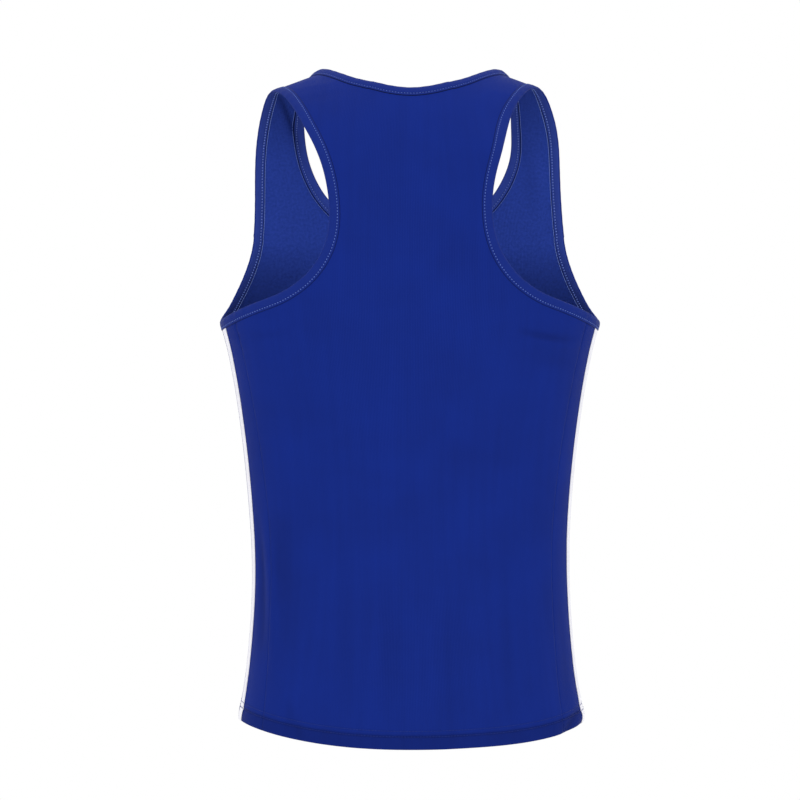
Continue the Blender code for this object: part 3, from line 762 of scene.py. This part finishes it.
def front_cloth():
    """Wraps round both sides to the seams at the back."""
    sheet = Sheet()
    st, arm, neck = PLACES, ARM_TUCK, NECK_TUCK
    under, top = under_arm(np.concatenate([
        from_seam(st["seam"], st["side"], FRONT_SIDE),
        np.linspace(st["side"], st["front"], FRONT_UNDER + 1)[1:]]), 1)
    corner, scoop = arm[st["front"]], neck[st["scoop"]]
    share = shares(FRONT_STRAP)[1:-1]
    x = corner[0] + (scoop[0] - corner[0]) * share
    z = corner[2] + (scoop[2] - corner[2]) * share
    chest = on(neck, np.linspace(st["scoop"], st["half"], FRONT_NECK + 1))
    right = np.concatenate([under, angle_of(seen(x, z, True)), angle_of(chest)])
    right[-1] = 180.0
    top = np.concatenate([top, z, chest[:, 2]])
    near = np.clip(1 - (under - under[0]) / (BAND_BACK_ANGLE - under[0]), 0.0, 1.0)
    near = np.concatenate([near, np.zeros(len(top) - len(near))])
    angles, tops, follow = (np.concatenate([half, side * half[-2::-1]]) for half, side in (
        (right, -1), (top, 1), (near, 1)))
    base, placed, shade = rings(angles, tops, follow, 0.0,
                                hem_profile(settings().hem_turn / MM))
    sheet.block(placed, cloth_uv(base, True), shade)

    seam = -SEAM_CLEAR * ARCH / depth(SHOULDER_OUT, 0.0, True)
    first = FRONT_SIDE + FRONT_UNDER
    arm_up = on(arm, np.linspace(st["front"], st["top"] + SAMPLES, FRONT_STRAP_RISE + 1))
    neck_up = on(neck, np.linspace(st["scoop"], st["cross"], FRONT_STRAP_RISE + 1))
    row = base[-1]
    strap_block(sheet, row[first:first + FRONT_STRAP + 1], arm_up, neck_up, seam, np.array,
                True, False)
    strap_block(sheet, row[::-1][first:first + FRONT_STRAP + 1], arm_up, neck_up, seam,
                mirrored, True, True)
    return sheet


# across from the seam to the fold and back on the inside; out from the panel; how dark, as
# painted shade: a shadow line at the raw edges and shade in the stitch groove
BINDING_SECTION = np.array((
    (-0.75, 0.10, 1), (-0.35, 0.22, 1), (0, 0.52, 0.35), (0.4, 0.84, 0),
    (1, 0.92, 0), (1.5, 0.80, 0.1), (2, 0.62, 0.35), (2.5, 0.80, 0.1),
    (3.2, 1.05, 0), (5, 1.18, 0), (7, 1.12, 0), (8.6, 0.85, 0),
    (9.6, 0.38, 0), (10.3, -0.15, 0), (10.5, -0.65, 0), (10.3, -1.15, 0),
    (9.6, -1.55, 0), (8.6, -1.85, 0), (7, -2, 0), (5, -2.05, 0),
    (3.2, -1.95, 0), (2.5, -1.75, 0.1), (2, -1.6, 0.35), (1.5, -1.75, 0.1),
    (0.8, -1.85, 0), (0.1, -1.85, 0), (-0.5, -1.78, 0.6), (-1.2, -1.3, 1),
))
BINDING_STITCHES = (    # across from the binding's seam, out, length over pitch, width
    (2, 0.74, 0.50, 1),     # outside, in the groove
    (2, -1.80, 0.55, 1.6),    # inside
    (-1.9, -1.25, 1.05, 1),   # the chain of looper thread over the raw edge inside
)
BINDING_TUG, BINDING_TUGS = 0.10, 66  # how far the stitches tug the strip, times round
NECK_THREAD = 0.6      # how broad the neck's stitches are, as a share of the others'
BEAD_FLAT = 1.3        # how much flatter than broad a stitch is
BEAD_BLUNT = 0.55      # under 1 makes the ends of a stitch blunt
BEAD_ORDER = Vector((1.0, 0.31, 0.097))  # a slant that no two faces of a bead tie on
BAND_CLEAR = 0.12      # between the panel and a side band
BAND_WIDTH = 12.0      # of the tape as cut
BAND_STITCH_IN = 0.5   # degrees, stitches from a side band's edge
BAND_TURN = 7.0        # of the tape that is turned up inside the hem
BAND_CELLS = 8         # cells across the tape


def binding_frame(line, seam, rises):
    """At each station of an edge: its foot, the way over to the fold, and the way out."""
    over = unit(line - seam)
    out = normal(seam)
    out = unit(out - (out * over).sum(axis=1)[:, None] * over)
    rise = rises[:, None]
    tip = np.cos(rise) * over + np.sin(rise) * out
    lift = np.cos(rise) * out - np.sin(rise) * over
    return seam + 0.6 * np.sin(rise) * over, tip, lift


def neck_rises():
    """How far the neck binding stands up at each sample of the neck line."""
    step = run_of(NECK)[-1] / (SAMPLES - 1)
    i, cross = np.arange(SAMPLES), PLACES["cross"]
    away = np.minimum(np.abs(i - cross), np.abs(SAMPLES - i - cross)) * step
    return math.radians(NECK_RISE) * np.exp(-(away / NECK_RISE_REACH)**2)


def binding_cloth(line, seam, rises, turn, turned, groove):
    """A folded strip round an edge; `groove` is how strong the painted shade in its grooves
    and at its seam edge is outside.
    """
    sheet = Sheet()
    pick = np.arange(0, SAMPLES + 1, SAMPLES // EDGE_STATIONS) % SAMPLES
    foot, tip, lift = (v[pick][:, None] for v in binding_frame(line, seam, rises))
    run = run_of(line[pick])
    across, height, dark = BINDING_SECTION.T
    lap_angle = 2 * np.pi * run / run[-1]
    wave = np.sin(BINDING_TUGS * lap_angle + 2.0 * np.sin(3 * lap_angle))
    fade = np.clip((across - 2.4) / 3.0, 0.0, 1.0) * (height > -0.6)
    out = height[None] + BINDING_TUG * wave[:, None] * fade
    points = foot + across[None, :, None] * tip + out[..., None] * lift
    lap = run_of(BINDING_SECTION[:, :2])
    uv = np.stack(np.broadcast_arrays(run[:, None], lap[None]), axis=-1)
    # Painted shade from the section's dark column; outside it is scaled by `groove`.
    shade = np.broadcast_to(np.where(height > 0, groove, 1.0) * dark, points.shape[:2])
    sheet.block(turn(points), uv, shade, turned)
    # The folded-in leg takes the second finish: the same jersey dyed lighter as painted light,
    # with painted inner shade.
    fold = lap[int(np.argmax(height < -1.0))] * MM
    for face in sheet.bm.faces:
        if min(loop[sheet.uv].uv.y for loop in face.loops) >= fold:
            face.material_index = 1
    return sheet


# ---- materials ----
def add_node(tree, kind, inputs=None, **choices):
    """Add one node with its settings; an input is a value, or an output socket to link."""
    made = tree.nodes.new("ShaderNode" + kind)
    for name, value in choices.items():
        setattr(made, name, value)
    for name, value in (inputs or {}).items():
        if isinstance(value, bpy.types.NodeSocket):
            tree.links.new(value, made.inputs[name])
        else:
            made.inputs[name].default_value = value
    return made


def tone(colour, share):
    """A dye made darker or lighter."""
    return (*(min(1.0, c * share) for c in colour), 1.0)


def knitted(tree, colour, streak, grain, roughness, gloss, bump, within):
    """Circular-knitted polyester jersey, piece dyed: smooth wales up the cloth and courses
    across it, so fine that the eye reads an even matt blue with a faint upright grain and a
    soft bloom at grazing angles. Real wales are about 0.7 mm apart; they are drawn at
    twice that so that the render can show them at all. `grain` is the width, the length and
    the share of the fine unevenness. `within` is 1 on faces turned inwards, which get
    painted shade: darker at the shoulders and under the arms, where less light reaches."""
    wide, long, share = grain
    place = add_node(tree, "UVMap", uv_map="cloth").outputs["UV"]
    turns = 2 * math.pi / (20 * settings().knit_grain)
    wales, courses = (add_node(tree, "TexWave", {
        "Vector": place, "Scale": turns * closer, "Distortion": slip, "Detail": 1.0,
        "Detail Scale": 2.0}, wave_type="BANDS", bands_direction=way)
        for way, closer, slip in (("X", 1.0, 0.6), ("Y", 1.3, 0.5)))
    loops = add_node(tree, "Math", {
        0: wales.outputs["Fac"], 1: courses.outputs["Fac"]}, operation="MULTIPLY")
    long_place = add_node(tree, "Mapping", {
        "Vector": place, "Scale": (1 / wide, 1 / long, 1.0)}).outputs["Vector"]
    streaks = add_node(tree, "TexNoise", {
        "Vector": long_place, "Scale": 1.0, "Detail": 3.0, "Roughness": 0.55})
    cloud = add_node(tree, "TexNoise", {
        "Vector": place, "Scale": 1 / 0.06, "Detail": 2.0, "Roughness": 0.5})
    uneven = None
    for part, weight in ((streaks.outputs["Fac"], share), (cloud.outputs["Fac"], 1 - share),
                         (loops.outputs[0], 0.35)):
        uneven = add_node(tree, "Math", {
            0: part, 1: weight, 2: uneven.outputs[0] if uneven else 0.0},
            operation="MULTIPLY_ADD")
    dyed = add_node(tree, "Mix", {
        "Factor": add_node(tree, "MapRange", {
            "Value": uneven.outputs[0], "From Min": 0.30, "From Max": 0.90}).outputs[0],
        6: tone(colour, 1 - streak), 7: tone(colour, 1 + streak)}, data_type="RGBA")
    # Painted shade: these two attributes mix the dye towards a near-black copy of it in
    # troughs, stitch grooves and seam edges and on the inner face, and darken the band over
    # the turned-up hem.
    grooves = add_node(tree, "Attribute", attribute_name="shade")
    hollows = add_node(tree, "Attribute", attribute_name="hollow")
    dark = add_node(tree, "Math", {
        0: hollows.outputs["Fac"], 1: within, 2: grooves.outputs["Fac"]},
        operation="MULTIPLY_ADD", use_clamp=True)
    base = add_node(tree, "Mix", {
        "Factor": dark.outputs[0], 6: dyed.outputs[2], 7: tone(colour, 0.12)},
        data_type="RGBA")
    dull = add_node(tree, "MapRange", {
        "Value": cloud.outputs["Fac"], "To Min": roughness - 0.05,
        "To Max": roughness + 0.05})
    raised = add_node(tree, "Bump", {
        "Height": loops.outputs[0], "Strength": bump, "Distance": 0.0003})
    return {"Base Color": base.outputs[2], "Roughness": dull.outputs[0],
            "IOR": 1.5, "Specular IOR Level": gloss, "Sheen Weight": 0.02,
            "Sheen Roughness": 0.5, "Sheen Tint": (0.3, 0.45, 1.0, 1.0),
            "Normal": raised.outputs["Normal"]}


def spun_thread(tree, colour):
    """Spun polyester sewing thread, two-ply twisted: a little shinier than the cloth, so each
    stitch catches a small light."""
    place = add_node(tree, "TexCoord").outputs["Object"]
    twist = add_node(tree, "TexNoise", {
        "Vector": place, "Scale": 1 / 0.0009, "Detail": 2.0})
    dyed = add_node(tree, "Mix", {
        "Factor": twist.outputs["Fac"], 6: tone(colour, 0.8), 7: tone(colour, 1.2)},
        data_type="RGBA")
    raised = add_node(tree, "Bump", {
        "Height": twist.outputs["Fac"], "Strength": 0.4, "Distance": 0.0001})
    return {"Base Color": dyed.outputs[2], "Roughness": 0.5, "IOR": 1.5,
            "Specular IOR Level": 0.2, "Normal": raised.outputs["Normal"]}


def woven_tape(tree, colour):
    """White polyester tape, plain woven: a fine square weave that keeps the white from looking
    like plastic. Real threads are 0.4 mm apart and are drawn at 1 mm so that they show."""
    place = add_node(tree, "UVMap", uv_map="cloth").outputs["UV"]
    turns = 2 * math.pi / (20 * 0.001)
    warp, weft = (add_node(tree, "TexWave", {"Vector": place, "Scale": turns},
                           wave_type="BANDS", bands_direction=way) for way in "XY")
    weave = add_node(tree, "Math", {
        0: warp.outputs["Fac"], 1: weft.outputs["Fac"]}, operation="ADD")
    wear = add_node(tree, "TexNoise", {
        "Vector": place, "Scale": 1 / 0.02, "Detail": 3.0})
    tint = add_node(tree, "Math", {
        0: weave.outputs[0], 1: 0.3, 2: wear.outputs["Fac"]}, operation="MULTIPLY_ADD")
    dyed = add_node(tree, "Mix", {
        "Factor": add_node(tree, "MapRange", {
            "Value": tint.outputs[0], "From Min": 0.3, "From Max": 1.2}).outputs[0],
        6: tone(colour, 0.86), 7: tone(colour, 1.0)}, data_type="RGBA")
    raised = add_node(tree, "Bump", {
        "Height": weave.outputs[0], "Strength": 0.5, "Distance": 0.0002})
    return {"Base Color": dyed.outputs[2], "Roughness": 0.6, "IOR": 1.5,
            "Specular IOR Level": 0.3, "Normal": raised.outputs["Normal"]}


def painted_floor(tree, colour):
    """Pale studio floor, rolled matt emulsion: it gives the eye only a soft even ground."""
    place = add_node(tree, "TexCoord").outputs["Object"]
    cloud = add_node(tree, "TexNoise", {"Vector": place, "Scale": 3.0})
    rolled = add_node(tree, "Mix", {
        "Factor": cloud.outputs["Fac"], 6: tone(colour, 0.97), 7: tone(colour, 1.0)},
        data_type="RGBA")
    return {"Base Color": rolled.outputs[2], "Roughness": 0.9, "IOR": 1.45}


FINISHES = {  # how it is made, its colour, and what else that way takes
    "jersey_outside": (knitted, "knit", 0.13, (0.007, 0.16, 0.35), 0.62, 0.06, 0.35, 0.0),
    # The inner finishes: their dyes are lighter as painted light (for the body's inner face,
    # partly the looser back of the knit), and their last value turns on painted inner shade.
    "jersey_inside": (
        knitted, "lining", 0.26, (0.0028, 0.0028, 0.85), 0.72, 0.05, 0.6, 1.0),
    "binding_jersey": (knitted, "binding", 0.10, (0.007, 0.03, 0.35), 0.60, 0.08, 0.4, 0.0),
    "binding_jersey_inside": (
        knitted, "binding_lining", 0.10, (0.007, 0.03, 0.35), 0.65, 0.06, 0.4, 0.9),
    "polyester_thread": (spun_thread, "thread"),
    "looper_thread": (spun_thread, "looper"),
    "hem_thread": (spun_thread, "hem_thread"),
    "band_thread": (spun_thread, "band_thread"),
    "woven_tape": (woven_tape, "tape"),
    "matt_floor_paint": (painted_floor, "floor"),
}


def get_material(name):
    """The named finish, made the first time a piece asks for it."""
    if name in bpy.data.materials:
        return bpy.data.materials[name]
    surface, stuff, *rest = FINISHES[name]
    made = bpy.data.materials.new(name)
    made.use_nodes = True
    tree = made.node_tree
    tree.nodes.clear()
    colour = tuple(getattr(bpy.context.scene.boxing_top_colours, stuff))
    shader = add_node(tree, "BsdfPrincipled", surface(tree, colour, *rest))
    add_node(tree, "OutputMaterial", {"Surface": shader.outputs[0]})
    return made


# ---- user settings ----
def metres(name, description, default):
    return bpy.props.FloatProperty(name=name, description=description, default=default,
                                   min=0.0, subtype="DISTANCE", unit="LENGTH", precision=4)


def dye(name, description, code):
    return bpy.props.FloatVectorProperty(name=name, description=description, size=3,
                                         subtype="COLOR", default=srgb(code), min=0.0,
                                         max=1.0)


class BoxingTopSizes(bpy.types.PropertyGroup):
    """Sizes of the cloth and the sewing."""
    cloth_wall: metres("Cloth", "Thickness of the knit", 0.0009)
    binding_wall: metres("Binding Cloth", "Thickness of the binding strip", 0.0005)
    band_wall: metres("Band", "Thickness of the side band", 0.0007)
    hem_turn: metres("Hem Turn-up", "Height of the turned-up hem", 0.0155)
    knit_grain: metres("Knit Grain", "Distance between the drawn wales", 0.0014)
    stitch_pitch: metres("Stitch Pitch", "Distance from one stitch to the next", 0.0031)
    thread_width: metres("Thread", "Width of a stitch", 0.0009)


class BoxingTopColours(bpy.types.PropertyGroup):
    """Dyes of the cloth and thread."""
    knit: dye("Knit", "Outer face of the jersey", "#0B2376")
    # Painted light in part: the inner face is dyed lighter than the outer, partly as the
    # looser back of the knit, partly for the light that gets inside.
    lining: dye("Inner Face", "Inner face of the jersey, lit through the cloth", "#2E48A8")
    binding: dye("Binding", "Folded edge strips", "#0E2575")
    # Painted light: the folded-in leg is the same jersey as the outer one, dyed lighter to
    # stand for the light on it.
    binding_lining: dye("Binding Inside", "Leg of the strips that is folded inside", "#33489F")
    thread: dye("Thread", "Edge stitching", "#566FBA")
    looper: dye("Looper Thread", "Edge stitching on the inside", "#6F89D8")
    hem_thread: dye("Hem Thread", "Hem stitching", "#12297A")
    band_thread: dye("Band Thread", "Stitching down the side bands", "#DDDFEC")
    tape: dye("Side Band", "White tape down each side", "#F4F3FA")
    floor: dye("Floor", "Studio floor", "#F2F2F0")


# ---- operators ----
def settings():
    return bpy.context.scene.boxing_top_sizes


def seat(piece, node):
    """The piece rides on the body and stands for a node, whose part it hides."""
    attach(piece, "root")
    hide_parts(node)


class BOXINGTOP_OT_back_panel(bpy.types.Operator):
    """Make the back panel: one cut piece with a narrow racerback and a turned-up hem"""
    bl_idname = "boxing_top.back_panel"
    bl_label = "Back Panel"

    def execute(self, context):
        piece = back_cloth().finish("back_cloth", "jersey_outside", "jersey_inside")
        wall(piece, settings().cloth_wall, 1)
        seat(piece, "back_panel")
        return {"FINISHED"}


class BOXINGTOP_OT_front_panel(bpy.types.Operator):
    """Make the front panel: one cut piece that wraps round both sides to the back"""
    bl_idname = "boxing_top.front_panel"
    bl_label = "Front Panel"

    def execute(self, context):
        piece = front_cloth().finish("front_cloth", "jersey_outside", "jersey_inside")
        wall(piece, settings().cloth_wall, 1)
        seat(piece, "front_panel")
        return {"FINISHED"}


def finish_binding(sheet, name, node):
    piece = sheet.finish(name, "binding_jersey", "binding_jersey_inside")
    wall(piece, settings().binding_wall)
    seat(piece, node)


class BOXINGTOP_OT_neck_binding(bpy.types.Operator):
    """Make the neck binding: one folded strip, closed into a ring"""
    bl_idname = "boxing_top.neck_binding"
    bl_label = "Neck Binding"

    def execute(self, context):
        sheet = binding_cloth(NECK, NECK_SEAM, neck_rises(), np.array, True, 1.0)
        finish_binding(sheet, "neck_edging", "neck_binding")
        return {"FINISHED"}


class BOXINGTOP_OT_armhole_bindings(bpy.types.Operator):
    """Make the two armhole bindings"""
    bl_idname = "boxing_top.armhole_bindings"
    bl_label = "Armhole Bindings"

    def execute(self, context):
        level = np.zeros(SAMPLES)
        for side, turn in (("right", np.array), ("left", mirrored)):
            sheet = binding_cloth(ARM, ARM_SEAM, level, turn, side == "right", 0.6)
            finish_binding(sheet, "armhole_edging_" + side, "armhole_binding_" + side)
        return {"FINISHED"}


def band_edge_top(angle):
    """Height at which the armhole binding starts, at an angle round the side."""
    line = ARM_SEAM[ARM_SEAM[:, 2] < SEAM_STOP]
    return np.interp(angle, angle_of(line), line[:, 2]) - 0.4


class BOXINGTOP_OT_side_bands(bpy.types.Operator):
    """Make the plain white bands sewn down both sides"""
    bl_idname = "boxing_top.side_bands"
    bl_label = "Side Bands"

    def execute(self, context):
        angles = np.linspace(BAND_BACK_ANGLE, BAND_FRONT_ANGLE, BAND_CELLS + 1)
        run = np.linspace(0.0, BAND_WIDTH, BAND_CELLS + 1)
        lift = BAND_CLEAR + settings().band_wall / MM
        base, placed, _ = rings(angles, band_edge_top(angles), 0 * angles, lift,
                                hem_profile(BAND_TURN))
        uv = np.stack(np.broadcast_arrays(run[None], base[:, :1, 2]), axis=-1)
        for side, turn in (("right", np.array), ("left", mirrored)):
            sheet = Sheet()
            sheet.block(turn(placed), uv, 0.0, side == "left")
            piece = sheet.finish("white_band_" + side, "woven_tape")
            wall(piece, settings().band_wall)
            seat(piece, "side_band_" + side)
        return {"FINISHED"}


def stitch_row(rows, points, out, size):
    """Note where small raised stitches go, each lying along its line."""
    long, broad = size
    way = unit(np.gradient(points, axis=0))
    out = unit(out - (out * way).sum(axis=1)[:, None] * way)
    turn = np.stack([way * long / 2, np.cross(out, way) * broad / 2,
                     out * broad / (2 * BEAD_FLAT)], axis=1)
    rows.append((points, turn))


def sewn(rows):
    """All the stitches of some rows: one small bead, doubled until there are enough."""
    points = np.vstack([row[0] for row in rows])
    turn = np.vstack([row[1] for row in rows])
    bm = bmesh.new()
    bmesh.ops.create_uvsphere(bm, u_segments=8, v_segments=5, radius=1.0)
    bm.faces.sort(key=lambda face: face.calc_center_median().dot(BEAD_ORDER))
    pattern = bpy.data.meshes.new("bead")
    bm.to_mesh(pattern)
    bm.clear()
    bm.from_mesh(pattern)
    bpy.data.meshes.remove(pattern)
    bead = np.array([v.co for v in bm.verts])
    bead[:, 0] = np.sign(bead[:, 0]) * np.abs(bead[:, 0])**BEAD_BLUNT
    made = 1
    while made < len(points):
        more = min(made, len(points) - made)
        bm.verts.ensure_lookup_table()
        verts = bm.verts[:more * len(bead)]
        keep = set(verts)
        edges = [e for e in bm.edges if e.verts[0] in keep]
        faces = [f for f in bm.faces if f.verts[0] in keep]
        bmesh.ops.duplicate(bm, geom=verts + edges + faces)
        made += more
    if len(bm.verts) != len(points) * len(bead):
        raise RuntimeError("the beads don't add up")
    place = points[:, None] + np.einsum("vk,nkj->nvj", bead, turn)
    for vert, co in zip(bm.verts, place.reshape(-1, 3) * MM):
        vert.co = co
    bm.normal_update()
    bmesh.ops.recalc_face_normals(bm, faces=bm.faces[:])
    bm.verts.index_update()
    return bm


def spaced(line, pitch):
    """Points a stitch apart round a closed line."""
    return even(line, int(run_of(np.vstack([line, line[:1]]))[-1] / pitch))


def band_rise(points):
    """How far the side bands lift what is sewn over them."""
    turn = np.abs(angle_of(points))
    over = (turn > BAND_BACK_ANGLE) & (turn < BAND_FRONT_ANGLE)
    return np.where(over, BAND_CLEAR + settings().band_wall / MM, 0.0)


def stitch_cloth(rows, line, sunk, size):
    """A row of stitches on the cloth or on a side band, a little sunk into it."""
    out = normal(line)
    line = line + (band_rise(line) - sunk)[:, None] * out
    stitch_row(rows, drape(line), out, size)


def finish_stitches(rows, name, *finishes):
    """Make one piece of some rows; the first row has the first finish, the rest the last."""
    bm = sewn(rows)
    verts = len(bm.verts) // sum(len(row[0]) for row in rows)
    for face in bm.faces:
        face.smooth = True
        later = face.verts[0].index >= verts * len(rows[0][0])
        face.material_index = len(finishes) - 1 if later else 0
    piece = finish_mesh(bm, name, *finishes)
    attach(piece, "root")


class BOXINGTOP_OT_stitching(bpy.types.Operator):
    """Sew the edges: one row outside and inside each binding, two round the hem"""
    bl_idname = "boxing_top.stitching"
    bl_label = "Stitching"

    def execute(self, context):
        pitch, broad = settings().stitch_pitch / MM, settings().thread_width / MM
        level = np.zeros(SAMPLES)
        rims = (("stitches_neck", NECK, NECK_SEAM, neck_rises(), np.array, NECK_THREAD),
                ("stitches_armhole_right", ARM, ARM_SEAM, level, np.array, 1.0),
                ("stitches_armhole_left", ARM, ARM_SEAM, level, mirrored, 1.0))
        for name, line, seam, rises, turn, fine in rims:
            rows = []
            foot, tip, lift = binding_frame(line, seam, rises)
            for across, height, share, wide in BINDING_STITCHES:
                row = spaced(foot + across * tip + height * lift, pitch)
                near = np.linalg.norm(row[:, None] - foot[None], axis=2).argmin(axis=1)
                out = lift[near] * (1.0 if height > 0 else -1.0)
                row, out = turn(row), turn(out)
                stitch_row(rows, drape(row), out, (share * pitch, fine * wide * broad))
            finish_stitches(rows, name, "polyester_thread", "looper_thread")
        rows = []
        around = np.linspace(-180.0, 180.0, 721)[:-1]
        for height in HEM_ROWS:
            line = spaced(body(around, hem(around) + height), pitch)
            stitch_cloth(rows, line, 0.02, (0.8 * pitch, 0.75 * broad))
        finish_stitches(rows, "stitches_hem", "hem_thread")

        rows = []
        edges = (BAND_BACK_ANGLE + BAND_STITCH_IN, BAND_FRONT_ANGLE - BAND_STITCH_IN)
        for angle in edges + tuple(-a for a in edges):
            low, high = hem(np.array(angle)) + 1.5, band_edge_top(abs(angle)) - 1.0
            z = np.arange(low, high, 0.9 * pitch)
            line = body(np.full(len(z), angle), z)
            stitch_cloth(rows, line, 0.0, (0.65 * pitch, 0.6 * broad))
        finish_stitches(rows, "stitches_bands", "band_thread")
        return {"FINISHED"}


CAMERA_AWAY = 2.5          # metres from the middle of the garment
CAMERA_HEIGHT = -0.333
CAMERA_TURN = -1.2         # degrees round from straight behind
VIEW_WIDTH = 0.832         # metres across the picture at the garment
VIEW_CENTRE_X = -0.0114    # metres, the garment stands a little right of the middle


class BOXINGTOP_OT_studio(bpy.types.Operator):
    """Set up the floor, the soft lights and the camera"""
    bl_idname = "boxing_top.studio"
    bl_label = "Studio"

    def execute(self, context):
        scene = bpy.context.scene
        bm = bmesh.new()
        bmesh.ops.create_circle(bm, cap_ends=True, cap_tris=False, segments=96, radius=1.6,
                                matrix=Matrix.Translation((0.0, 0.0, -1.05)))
        finish_mesh(bm, "studio_floor", "matt_floor_paint")

        lens = bpy.data.cameras.new("photo_camera")
        camera = bpy.data.objects.new("photo_camera", lens)
        scene.collection.objects.link(camera)
        lens.sensor_width = 36.0
        lens.lens = 36.0 * CAMERA_AWAY / VIEW_WIDTH
        lens.shift_x = VIEW_CENTRE_X / VIEW_WIDTH
        turn = math.radians(CAMERA_TURN)
        camera.location = (CAMERA_AWAY * math.sin(turn), -CAMERA_AWAY * math.cos(turn),
                           CAMERA_HEIGHT)
        camera.rotation_euler = (math.pi / 2, 0.0, turn)
        scene.camera = camera

        lights = (  # name, place, aim, size, power
            ("key_softbox", (-0.9, -2.6, 0.9), (0.0, 0.0, -0.35), 1.8, 14.0),
            ("fill_softbox", (1.3, -2.4, -0.1), (0.0, 0.0, -0.35), 1.8, 8.0),
            ("top_softbox", (0.0, 0.2, 1.8), (0.0, 0.0, -0.2), 1.4, 5.0),
        )
        for name, place, aim, size, power in lights:
            lamp = bpy.data.lights.new(name, "AREA")
            lamp.shape, lamp.size, lamp.energy = "SQUARE", size, power
            thing = bpy.data.objects.new(name, lamp)
            thing.location = place
            thing.rotation_euler = (Vector(aim) - Vector(place)).to_track_quat(
                "-Z", "Y").to_euler()
            scene.collection.objects.link(thing)

        world = bpy.data.worlds.new("studio_white")
        world.use_nodes = True
        world.node_tree.nodes["Background"].inputs["Color"].default_value = (1, 1, 1, 1)
        world.node_tree.nodes["Background"].inputs["Strength"].default_value = 1.0
        scene.world = world
        scene.view_settings.view_transform = "Standard"
        return {"FINISHED"}


class BOXINGTOP_PT_panel(bpy.types.Panel):
    """Sidebar panel that lists the settings and the steps"""
    bl_idname = "BOXINGTOP_PT_panel"
    bl_label = "Boxing Top"
    bl_space_type = "VIEW_3D"
    bl_region_type = "UI"
    bl_category = "Boxing Top"

    def draw(self, context):
        for group in (context.scene.boxing_top_sizes, context.scene.boxing_top_colours):
            for name in group.__annotations__:
                self.layout.prop(group, name)
        for step in STEPS:
            self.layout.operator(step.bl_idname)


STEPS = (BOXINGTOP_OT_back_panel, BOXINGTOP_OT_front_panel, BOXINGTOP_OT_neck_binding,
         BOXINGTOP_OT_armhole_bindings, BOXINGTOP_OT_side_bands, BOXINGTOP_OT_stitching,
         BOXINGTOP_OT_studio)
CLASSES = (BoxingTopSizes, BoxingTopColours, *STEPS, BOXINGTOP_PT_panel)


def register():
    for one in CLASSES:
        bpy.utils.register_class(one)
    bpy.types.Scene.boxing_top_sizes = bpy.props.PointerProperty(type=BoxingTopSizes)
    bpy.types.Scene.boxing_top_colours = bpy.props.PointerProperty(type=BoxingTopColours)


def unregister():
    del bpy.types.Scene.boxing_top_colours
    del bpy.types.Scene.boxing_top_sizes
    for one in reversed(CLASSES):
        bpy.utils.unregister_class(one)


def main():
    register()
    bpy.ops.boxing_top.back_panel()
    bpy.ops.boxing_top.front_panel()
    bpy.ops.boxing_top.neck_binding()
    bpy.ops.boxing_top.armhole_bindings()
    bpy.ops.boxing_top.side_bands()
    bpy.ops.boxing_top.stitching()
    bpy.ops.boxing_top.studio()


if __name__ == "__main__":
    main()
